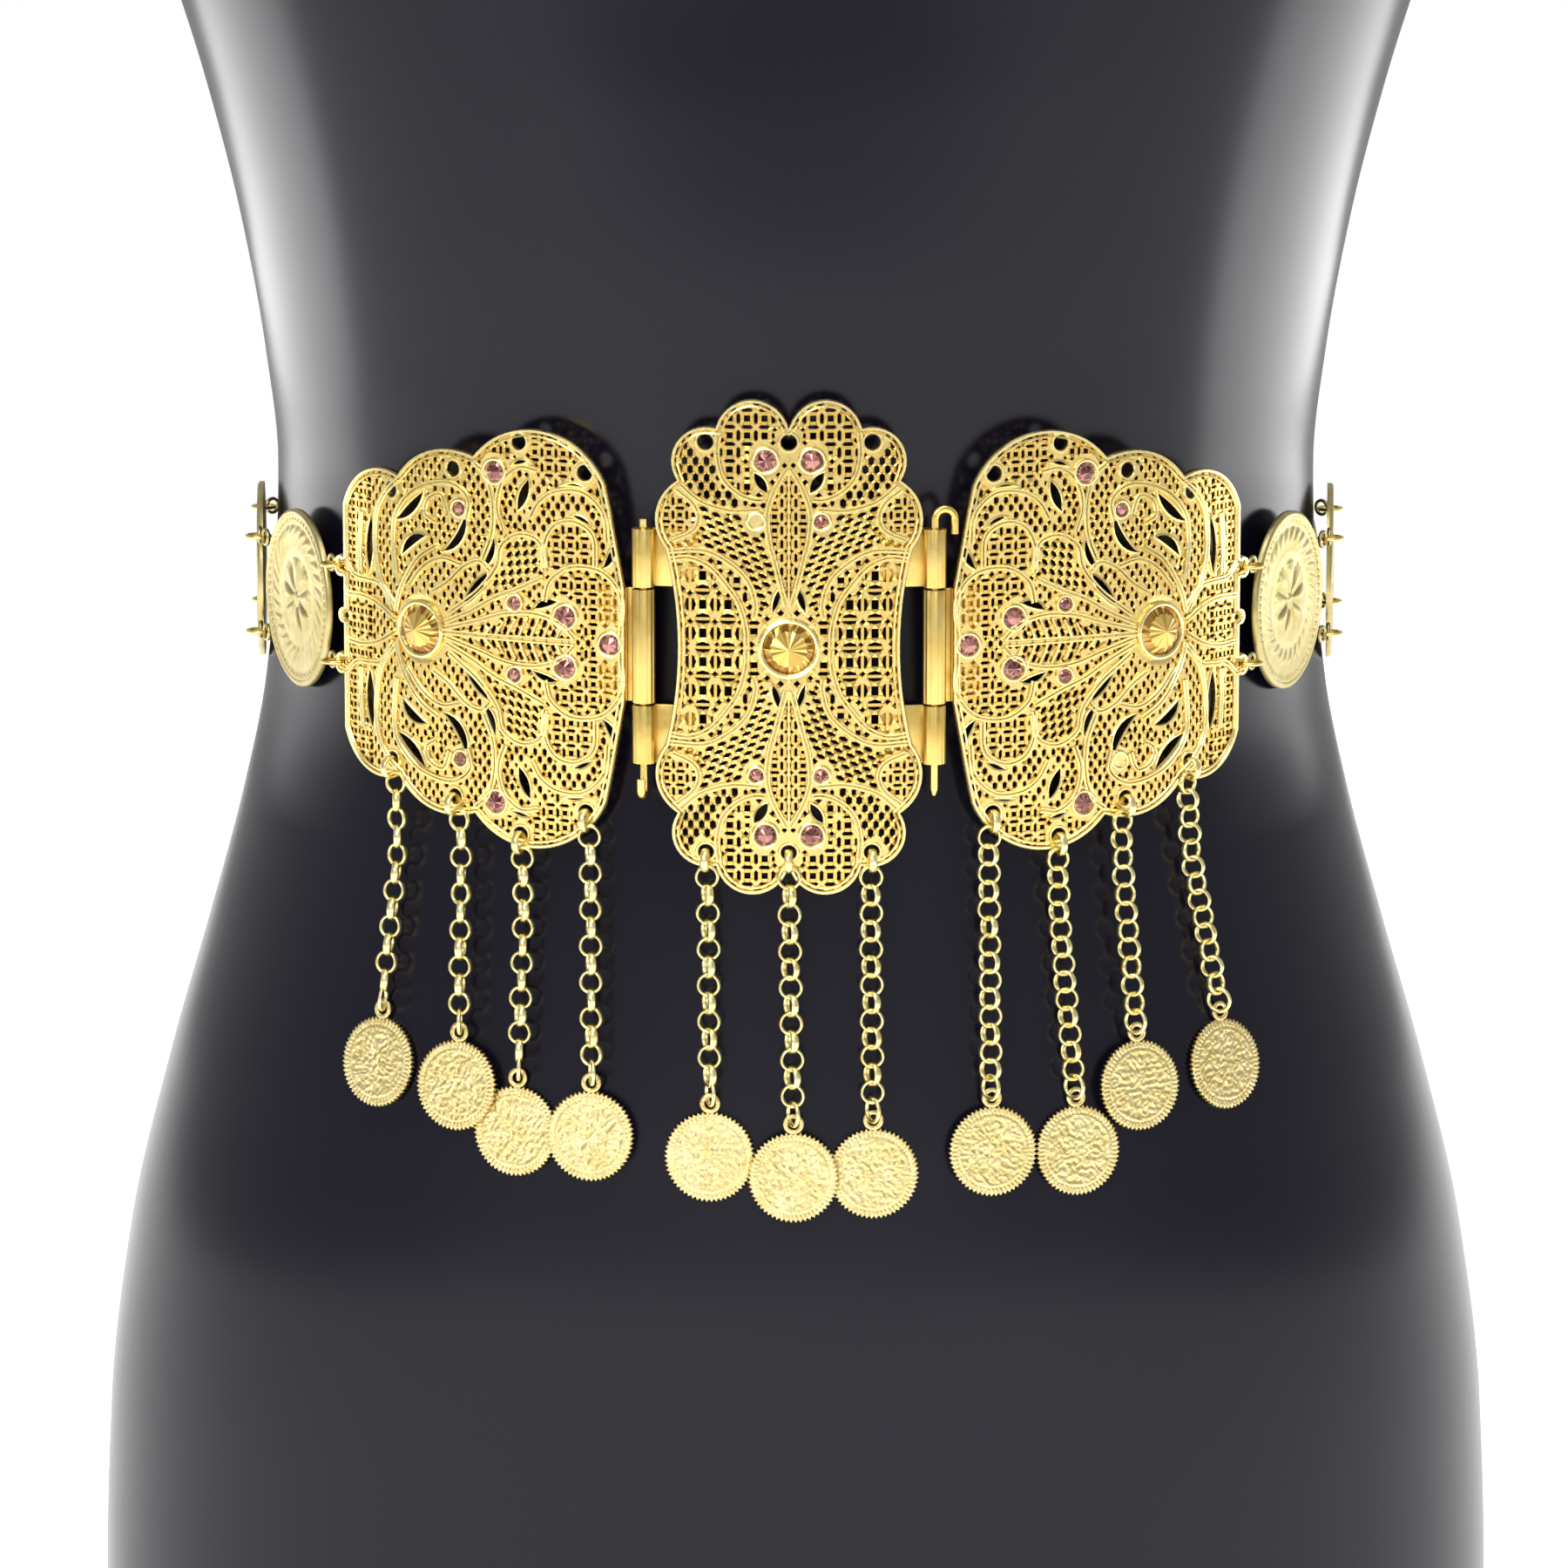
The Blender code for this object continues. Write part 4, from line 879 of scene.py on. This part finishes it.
def makeCentrePlate():
    look = centrePlate
    top = throughCorners(look["corners"])
    side = arcPoints(top[-1], top[-1] * (1.0, -1.0), -2.5, 14)
    right = top + side[1:] + mirrored(top, v=-1.0)
    ways = [(1.0, 1.0), (1.0, -1.0), (-1.0, 1.0), (-1.0, -1.0)]
    curves = [smoothCurve(corners) for corners in look["wires"]]
    petals = (
        (np.vstack([curves[0], [(0.0, 36.0), (0.0, 60.0), (15.6, 60.0)]]), "fine", (8.6, 45.0), 0.0),
        (np.vstack([curves[1][::-1], [(30.0, 38.0), (24.0, 56.0), (15.6, 45.0)], curves[0]]),
         "almond", (17.0, 36.0), 0.0),
        (np.vstack([curves[2], [(32.0, 22.0), (32.0, 34.0)]]), "small", (22.6, 28.0), 0.0),
        (np.vstack([curves[1], [(4.4, 28.7)], curves[3][6:], [(3.0, 6.0), (6.6, 6.0)], curves[4][::-1],
                    [(24.2, 22.6)], curves[2][::-1]]), "wave", (11.0, 23.5), 24.0))
    areas = [(area * way, net, np.array(centre) * way, degrees * way[0] * way[1])
             for way in ways for area, net, centre, degrees in petals]
    leaf = np.vstack([curves[3], (curves[3] * (-1, 1))[::-1]])
    body = np.vstack([[(32.0, 18.6)], curves[5], (curves[5] * (1, -1))[::-1], [(32.0, -18.6)]])
    areas += [(leaf * (1, s), "small", np.array((0.0, 25.0 * s)), 0.0) for s in (1, -1)]
    areas += [(body * (s, 1), "ribbed", np.array((12.6 * s, 3.05)), 0.0) for s in (1, -1)]
    claimed = [area[0] for area in areas]
    areas.append((None, "fine", np.array((0.0, 0.0)), 0.0))
    eyes, stones = look["eyes"], spreadOut(look["stones"], ways)
    metal = pierced("middle", {
        "outline": np.array(right + mirrored(right, u=-1.0)[1:-1]), "areas": areas, "claimed": claimed,
        "gaps": [shape for gap in look["gaps"] for shape in bothWays(gapShape(gap), ways)],
        "rounds": [roundShape(u, v, openwork["eye"]) for u, v in eyes], "eyes": eyes,
        "wires": [curve * way for curve in curves for way in ways],
        "slots": [], "fourfold": True, "fill": (0.62, 0.45),
        "discs": [(u, v, r + openwork["stoneRoom"]) for u, v, r in stones]
        + [(0.0, 0.0, 7.0)] + [(u, v, openwork["eyeRoom"]) for u, v in eyes],
    })
    addRibs(metal, [[(0.0, 9.0 * s), (0.0, 37.5 * s)] for s in (1, -1)], 0.32)
    stoneCup(metal, 0.0, 0.0, 5.9, 0.6)
    clawPoints, clawMesh = torusParts(0.30, 0.30, 8, 6)
    for angle in np.radians(range(0, 360, 45)):  # small claws round the middle stone
        metal.add(clawPoints + (6.9 * math.cos(angle), 6.9 * math.sin(angle), front + 0.35), clawMesh)
    rose, amber = Soup(), Soup()
    for u, v, radius in stones:
        stoneCup(metal, u, v, radius + cupLook["smallRoom"], cupLook["smallWire"])
        if (u, v) != look["missing"]:
            smallStone(rose, u, v, radius)
    facetedStone(amber, 0.0, 0.0, front + 0.1, 5.6, 2.4, 32)
    bentPiece("plateCentreOpenwork", metal, 1.0, ["plate_centre"])
    bentPiece("amberCentreStone", amber, 1.0, ["stone_centre"], amberStone, "stone")
    bentPiece("roseCentreStones", rose, 1.0, [], roseStone, "stone")


makeCentrePlate()
makeSidePlates()
print("plates made")

hingeLook = {"pinAt": 30.3, "barrel": 2.4, "bore": 1.25, "ridges": 7, "ridge": 0.075, "leaf": 1.0,
             "centreEnd": 19.0, "sideEnd": 40.0, "split": 12.1, "gap": 0.5, "end": 25.0,
             "steps": 44, "edge": 0.12, "sharp": 32.0}


def barrelShape(end):  # a ridged barrel and its leaf, in mm along the belt and off its back
    look = hingeLook
    way = math.copysign(1.0, end - look["pinAt"])
    last = math.pi + math.asin((look["barrel"] - look["leaf"]) / look["barrel"])
    points = [(end, look["leaf"]), (end, 0.0)]
    steps = look["steps"]
    for index in range(steps + 1):
        angle = -math.pi / 2.0 + (last + math.pi / 2.0) * index / steps
        wave = 0.5 + 0.5 * math.cos(look["ridges"] * 2.0 * angle)
        ridge = 1.0 - look["ridge"] * wave * math.sin(math.pi * index / steps)
        points.append((look["pinAt"] - way * math.cos(angle) * look["barrel"] * ridge,
                       look["barrel"] * (1.0 + ridge * math.sin(angle))))
    return points


def filledShape(name, outlines, wall, edge):  # a flat shape with holes and softened edges
    clearSelection()
    curve = bpy.data.curves.new(name, "CURVE")
    curve.dimensions, curve.fill_mode = "2D", "BOTH"
    curve.extrude, curve.bevel_depth, curve.bevel_resolution = wall / 2.0 - edge, edge, 1
    curve.offset = -edge
    for outline in outlines:
        spline = curve.splines.new("POLY")
        spline.points.add(len(outline) - 1)
        spline.use_cyclic_u = True
        for point, place in zip(spline.points, outline):
            point.co = (place[0], place[1], 0.0, 1.0)
    guide = bpy.data.objects.new(name, curve)
    bpy.context.scene.collection.objects.link(guide)
    guide.select_set(True)
    bpy.context.view_layer.objects.active = guide
    bpy.ops.object.convert(target="MESH")
    guide = bpy.context.object
    bpy.ops.object.mode_set(mode="EDIT")
    bpy.ops.mesh.select_all(action="SELECT")
    bpy.ops.mesh.remove_doubles(threshold=1e-4)
    bpy.ops.mesh.normals_make_consistent(inside=False)
    bpy.ops.object.mode_set(mode="OBJECT")
    points = np.array([tuple(vertex.co) for vertex in guide.data.vertices])
    faces = [tuple(face.vertices) for face in guide.data.polygons]
    bpy.data.objects.remove(guide, do_unlink=True)
    return points, faces


def makeHinges():
    look = hingeLook
    spans = [("Upper", look["centreEnd"], look["split"] + look["gap"], look["end"]),
             ("Lower", look["centreEnd"], -look["end"], -look["split"] - look["gap"]),
             ("Middle", look["sideEnd"], -look["split"], look["split"])]
    for part, end, low, high in spans:
        bore = roundShape(look["pinAt"], look["barrel"], look["bore"], 20)
        points, faces = filledShape("hinge", [barrelShape(end), bore], high - low, look["edge"])
        for side, way in (("Left", -1.0), ("Right", 1.0)):
            places = np.column_stack([points[:, 0] * way, (low + high) / 2.0 + points[:, 2], points[:, 1]])
            piece = meshPiece("hinge" + side + part, beltPoints(places * mm), faces)
            faceOut(piece)
            node = "hinge_" + side.lower() + "_" + part.lower()
            finishPiece(piece, satinGold, [node], sharp=look["sharp"])


pinLook = {"radius": 0.9, "sides": 12, "tip": 27.0, "tail": 30.5, "hook": 2.1, "drop": 3.2, "bend": 1.2,
           "steps": 16, "point": 1.3, "blunt": 0.45, "middles": (-15.0, 0.0, 15.0), "sharp": 50.0}


def makePins():
    look, at, out = pinLook, hingeLook["pinAt"], hingeLook["barrel"]
    heights = [-look["tail"], *look["middles"], look["tip"]]
    closing = [(at, height, out) for height in [-look["tail"] - look["point"], *heights]]
    fixed = [(-at, height, out) for height in reversed(heights)]
    for index in range(1, look["steps"] + 1):
        angle = math.pi * index / look["steps"]
        across, along = 1.0 - math.cos(angle), math.sin(angle)
        closing.append((at + look["hook"] * across, look["tip"] + look["hook"] * along, out))
        fixed.append((-at, -look["tail"] - look["bend"] * along, out + look["bend"] * across))
    closing.append((at + 2.0 * look["hook"], look["tip"] - look["drop"], out))
    fixed.append((-at, -look["tail"] + 2.0 * look["bend"], out + 2.0 * look["bend"]))
    for name, node, route in (("pinClosing", "pin_closing", closing), ("pinFixed", "pin_fixed", fixed)):
        line = beltPoints(np.array(route) * mm)
        points, faces = tube(line, look["radius"] * mm, look["sides"])
        if name == "pinClosing":  # the tip is drawn to a blunt point
            points[:look["sides"]] = line[0] + (points[:look["sides"]] - line[0]) * look["blunt"]
        piece = meshPiece(name, points, faces)
        faceOut(piece)
        finishPiece(piece, plateGold, [node], sharp=look["sharp"])


makeHinges()
makePins()
print("hinges and pins made")

bigCoin = {"radius": 19.5, "wall": 1.2, "around": 192, "rows": 34, "lugAt": (20.8, 10.6),
           "lug": (1.62, 0.42, 16, 8), "stretch": (1.08, 1.0, 1.2), "sharp": 60.0,
           "rim": (18.8, 0.75, 0.36), "line": (10.0, 0.35, 0.16),  # place, half width, height
           "beads": {"count": 64, "at": 17.2, "width": 0.62, "length": 0.42, "height": 0.45},
           "wreath": {"from": 10.6, "to": 16.2, "at": 13.4, "width": 2.8, "leaves": 14, "lean": 0.75,
                      "height": 0.50},
           "petals": {"to": 9.4, "at": 5.2, "width": 3.9, "count": 4, "round": 0.7, "height": 0.60},
           "button": (0.0, 1.7, 0.5), "notches": (8.6, 0.5, 0.10), "notchCount": 32}
smallCoin = {"radius": 9.75, "wall": 1.0, "teeth": 58, "rows": 38, "edge": (0.33, 0.36), "lugAt": 11.7,
             "lug": (1.7, 0.58, 20, 8), "flat": 0.75, "sharp": 60.0,
             "rim": (9.2, 0.4, 0.14), "line": (7.5, 0.35, 0.20), "band": (7.9, 9.0),
             "bars": (8.45, 0.55, 0.30), "field": 7.2,
             "folds": {"scale": 0.70, "height": 0.20, "sharp": 2.2, "shift": 3.1},
             "pits": {"scale": 1.3, "height": 0.10, "side": 9.0}}
coinCut = {"ground": 0.15, "lip": 0.08, "rimFrom": 0.88}  # relief's depth, rim's drop, where the teeth begin


def ridge(value, middle, width, height=1.0):  # a rounded ridge round the coin
    return height * max(0.0, 1.0 - ((value - middle) / width) ** 2)


def bigRelief(r, angle):  # rim, beads, a wreath and a rosette, in mm
    look = bigCoin
    beads, wreath, petals = look["beads"], look["wreath"], look["petals"]
    height = ridge(r, *look["rim"])
    along = (angle * beads["count"] / (2 * math.pi)) % 1.0 - 0.5
    across = (r - beads["at"]) / beads["width"]
    height += beads["height"] * max(0.0, 1.0 - (along / beads["length"]) ** 2 - across ** 2)
    if wreath["from"] < r < wreath["to"]:
        swing = math.cos(wreath["leaves"] * angle + wreath["lean"] * (r - wreath["at"]))
        height += ridge(r, wreath["at"], wreath["width"], wreath["height"]) * (0.3 + 0.7 * abs(swing))
    height += ridge(r, *look["line"])
    if r < petals["to"]:
        petal = abs(math.cos(petals["count"] * angle)) ** petals["round"]
        height += petal * ridge(r, petals["at"], petals["width"], petals["height"])
        height += ridge(r, *look["button"])
        height += ridge(r, *look["notches"]) * (0.5 + 0.5 * math.cos(look["notchCount"] * angle))
    return height


def smallRelief(r, angle, seed):  # a ring of fine lines round a worn, crowded ornament
    look = smallCoin
    height = ridge(r, *look["rim"])
    if look["band"][0] < r < look["band"][1]:
        height += (0.5 + 0.5 * math.cos(look["teeth"] * angle)) * ridge(r, *look["bars"])
    height += ridge(r, *look["line"])
    if r < look["field"]:
        spot = Vector((r * math.cos(angle), r * math.sin(angle), 0.0))
        folds, pits = look["folds"], look["pits"]
        fold = noise.noise(spot * folds["scale"] + Vector((0.0, 0.0, seed * folds["shift"])))
        height += folds["height"] * (1.0 - folds["sharp"] * abs(fold))
        height += pits["height"] * noise.noise(spot * pits["scale"] + Vector((pits["side"], 0.0, seed)))
    return height


# a disc with a relief on its front; edge gives the rim's radius at an angle
def coinDisc(radius, wall, around, rows, relief, edge):
    ground = wall - coinCut["ground"]
    points, faces = [(0.0, 0.0, ground + relief(0.0, 0.0))], []
    angles = [2.0 * math.pi * k / around for k in range(around)]
    for row in range(rows):
        r = radius * ((row + 1) / rows)
        rim = max(0.0, (r / radius - coinCut["rimFrom"]) / (1.0 - coinCut["rimFrom"]))
        for angle in angles:
            here = r * (1.0 + rim * (edge(angle) / radius - 1.0))  # the outer rows follow the edge's teeth
            z = ground + (relief(r, angle) if row < rows - 1 else -coinCut["lip"])
            points.append((here * math.cos(angle), here * math.sin(angle), z))
    low, last = len(points), 1 + (rows - 1) * around
    points += [(edge(angle) * math.cos(angle), edge(angle) * math.sin(angle), 0.0) for angle in angles]
    for k in range(around):
        j = (k + 1) % around
        faces.append((0, 1 + k, 1 + j))
        for row in range(rows - 1):
            a, b = 1 + row * around, 1 + (row + 1) * around
            faces.append((a + k, b + k, b + j, a + j))
        faces.append((last + k, low + k, low + j, last + j))
    faces.append(tuple(low + k for k in reversed(range(around))))
    return np.array(points), faces


def middleOf(node):
    return np.mean(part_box(node), axis=0)


def beltTurnOf(node):
    turns = np.linspace(-math.pi, math.pi, 7201)
    away = beltSurface(turns, 0.0) - middleOf(node)
    return turns[np.argmin(np.linalg.norm(away[:, :2], axis=1))]


def makeBigCoins():
    look = bigCoin
    coin = Soup()
    coin.add(*coinDisc(look["radius"], look["wall"], look["around"], look["rows"],
                       bigRelief, lambda angle: look["radius"]))
    lug, lugMesh = torusParts(*look["lug"])
    for x, y in ((-1, -1), (-1, 1), (1, -1), (1, 1)):
        place = (look["lugAt"][0] * x, look["lugAt"][1] * y, look["wall"] / 2.0)
        coin.add(lug * look["stretch"] + place, lugMesh)
    shape = np.concatenate(coin.points) * mm
    for number in range(1, 11):
        node = "coin_%02d" % number
        turn = beltTurnOf(node)
        along, up, out = surfaceFrame(beltSurface, turn, 0.0)
        centre = beltSurface(turn, 0.0) + out * belt["clearance"]
        piece = meshPiece("bigCoin%02d" % number, placed(shape, centre, along, up, out), coin.faces)
        finishPiece(piece, duskGold, [node], sharp=look["sharp"])


def makeRings():
    points, faces = torusParts(2.5 * mm, 0.45 * mm, 26, 8)
    for number in range(1, 23):
        node = "ring_%02d" % number
        piece = meshPiece("linkRing%02d" % number, points + middleOf(node), faces)
        finishPiece(piece, plateGold, [node])


makeBigCoins()
makeRings()
print("big coins and rings made")

strandRows = [  # the hole's place, drop to the coin's lug, sideways sway, layer over the neighbours
    (-91.2, -29.2, 53.8, 5.1, 0), (-73.8, -35.2, 50.3, 7.6, 1), (-57.8, -42.0, 52.1, 4.9, 0),
    (-42.9, -36.2, 57.6, 5.6, 1), (-17.2, -43.6, 53.7, 2.6, 0), (0.0, -43.6, 57.7, 1.0, 1),
    (17.2, -43.6, 57.2, -1.5, 0), (42.9, -36.2, 60.6, -4.8, 1), (57.8, -42.0, 56.1, -2.1, 0),
    (73.8, -35.2, 50.3, -3.7, 1), (91.2, -29.2, 54.5, 0.7, 0)]
chainLook = {"radius": 2.26, "wire": 0.41, "band": 2.1, "endRadius": 2.5, "endWire": 0.48, "pitch": 3.75,
             "rest": 3.05, "layer": 1.4, "ringDrop": 1.7, "ringOut": 3.3, "endRise": 2.1,
             "twist": math.radians(62.0), "stray": 0.2, "endTwist": math.radians(64.8)}


def ringParts(radius, wire, band=1.0):  # one link, its wire widened to a band along its axis
    points, faces = torusParts(radius * mm, wire * mm, 20, 8)
    return points * (1.0, 1.0, band), faces


def makeStrand(number, row, linkParts, endParts):
    u, v, drop, sway, layer = row
    look, node = chainLook, "strand_%02d" % number
    holeTurn = float(turnAt(u * mm))
    holeZ = belt["height"] + v * mm
    endZ = holeZ - drop * mm
    halfWidth, front, _ = formSizes(np.array(endZ))
    around = math.hypot(halfWidth * math.cos(holeTurn), front * math.sin(holeTurn))
    endTurn = holeTurn + sway * mm / around
    chain = Soup()
    start = beltPoints([u * mm, (v - look["ringDrop"]) * mm, look["ringOut"] * mm])
    _, up, out = surfaceFrame(beltSurface, holeTurn, v * mm)
    chain.add(placed(linkParts[0], start, out, up, np.cross(out, up)), linkParts[1])
    topZ, lowZ = start[2], endZ + look["endRise"] * mm
    count = max(2, round((topZ - lowZ) / (look["pitch"] * mm)))
    centres = [start]
    for index in range(1, count + 1):
        z = topZ + (lowZ - topZ) * index / count
        share = (holeZ - z) / (holeZ - endZ)
        turn = holeTurn + (endTurn - holeTurn) * share
        face, foot = surfaceFrame(formRing, turn, z)[2], formRing(turn, z)
        hang = float(np.dot(np.array([start[0], start[1], z]) - foot, face))
        lying = (look["rest"] + layer * look["layer"]) * mm
        centres.append(foot + face * max(lying, hang))
    lastFace = face
    for index in range(1, count + 1):  # every second link is turned
        down = unit(centres[min(index + 1, count)] - centres[index - 1])
        side = unit(np.cross(lastFace, down))
        face = unit(np.cross(down, side))
        twist = (0.0 if index % 2 else look["twist"]) + chance.uniform(-look["stray"], look["stray"])
        if index == count:
            twist = look["endTwist"]
        across = side * math.cos(twist) + face * math.sin(twist)
        parts = endParts if index == count else linkParts
        chain.add(placed(parts[0], centres[index], across, down, np.cross(across, down)), parts[1])
    finishPiece(chain.piece("chain%02d" % number), chainGold, [node])
    coin, size = Soup(), smallCoin
    inset, tooth = size["edge"]
    coin.add(*coinDisc(size["radius"], size["wall"], size["teeth"] * 4, size["rows"],
                       lambda r, angle: smallRelief(r, angle, number),
                       lambda angle: size["radius"] - inset + tooth * math.cos(size["teeth"] * angle)))
    lug, lugMesh = torusParts(*size["lug"])
    coin.add(lug * (1, 1, size["flat"]) + (0.0, size["lugAt"] - 0.3, size["wall"] / 2.0), lugMesh)
    coinZ = endZ - size["lugAt"] * mm
    side, up, face = surfaceFrame(formRing, endTurn, coinZ)
    base = formRing(endTurn, coinZ) + face * (belt["clearance"] + layer * look["layer"] * mm)
    shape = placed(np.concatenate(coin.points) * mm, base, side, np.cross(face, side), face)
    piece = meshPiece("smallCoin%02d" % number, shape, coin.faces)
    finishPiece(piece, coinGold, [node], sharp=size["sharp"])


linkParts = ringParts(chainLook["radius"], chainLook["wire"], chainLook["band"])
endParts = ringParts(chainLook["endRadius"], chainLook["endWire"])
for number, row in enumerate(strandRows, start=1):
    makeStrand(number, row, linkParts, endParts)
print("strands made")

studio = {"floor": 3.0, "drop": 0.5 * mm, "world": 0.40, "lens": 183.0, "sensor": 36.0, "distance": 1.8,
          "raise": 10.0, "swing": 0.76, "target": (-0.0026, formShift, 0.200)}
white = (1.0, 1.0, 1.0, 1.0)
floorLook = {"Base Color": (0.9, 0.9, 0.9, 1.0), "Roughness": 0.9, "Specular IOR Level": 0.1,
             "Emission Color": white, "Emission Strength": 0.95}
lights = (  # name, place, aim, width, height, power
    ("keyLight", (-0.7, -1.6, 1.5), (0.0, 0.0, 0.25), 0.9, 0.9, 16.0),
    ("topLight", (0.2, -0.6, 2.2), (0.0, 0.0, 0.2), 1.2, 0.8, 10.0),
    ("frontFill", (0.3, -2.6, 0.9), (0.0, 0.0, 0.25), 2.4, 1.6, 3.5),
    # low lights that shine up, so that only the upper waist mirrors them
    ("rightSheen", (0.58, 0.33, 0.20), (0.58, 0.33, 1.0), 0.44, 0.66, 3.0),
    ("leftSheen", (-0.58, 0.38, 0.20), (-0.58, 0.38, 1.0), 0.44, 0.60, 2.4))


def makeStudio():
    clearSelection()
    bpy.ops.mesh.primitive_plane_add(size=studio["floor"], location=(0.0, 0.0, -studio["drop"]))
    floor = bpy.context.object
    floor.name = "studioFloor"
    material = bpy.data.materials.new("floorWhite")
    material.use_nodes = True
    for socket, value in floorLook.items():
        material.node_tree.nodes["Principled BSDF"].inputs[socket].default_value = value
    floor.data.materials.append(material)
    world = bpy.data.worlds.new("studioWorld")
    bpy.context.scene.world = world
    world.use_nodes = True
    nodes, links = world.node_tree.nodes, world.node_tree.links
    soft, seen = nodes["Background"], nodes.new("ShaderNodeBackground")
    soft.inputs["Color"].default_value = seen.inputs["Color"].default_value = white
    soft.inputs["Strength"].default_value = studio["world"]
    rays, choice = nodes.new("ShaderNodeLightPath"), nodes.new("ShaderNodeMixShader")
    links.new(rays.outputs["Is Camera Ray"], choice.inputs["Fac"])
    links.new(soft.outputs["Background"], choice.inputs[1])
    links.new(seen.outputs["Background"], choice.inputs[2])
    links.new(choice.outputs["Shader"], nodes["World Output"].inputs["Surface"])


def makeLights():
    for name, place, aim, width, height, power in lights:
        clearSelection()
        bpy.ops.object.light_add(type="AREA", location=place)
        lamp = bpy.context.object
        lamp.name = name
        lamp.data.shape = "RECTANGLE"
        lamp.data.size, lamp.data.size_y = width, height
        lamp.data.energy = power
        lamp.rotation_euler = (Vector(aim) - Vector(place)).to_track_quat("-Z", "Y").to_euler()
        lamp.visible_camera = False


def makeCamera():
    rise, swing = math.radians(studio["raise"]), math.radians(studio["swing"])
    target = Vector(studio["target"])
    back = Vector((math.sin(swing) * math.cos(rise), -math.cos(swing) * math.cos(rise), math.sin(rise)))
    clearSelection()
    bpy.ops.object.camera_add(location=target + back * studio["distance"])
    camera = bpy.context.object
    camera.name = "photoCamera"
    camera.data.lens = studio["lens"]
    camera.data.sensor_width = studio["sensor"]
    camera.rotation_euler = (-back).to_track_quat("-Z", "Y").to_euler()
    camera.data.clip_start, camera.data.clip_end = 0.05, 50.0
    bpy.context.scene.camera = camera


makeStudio()
makeLights()
makeCamera()
bpy.context.scene.view_settings.view_transform = "Standard"
bpy.context.scene.view_settings.look = "None"
print("studio made")
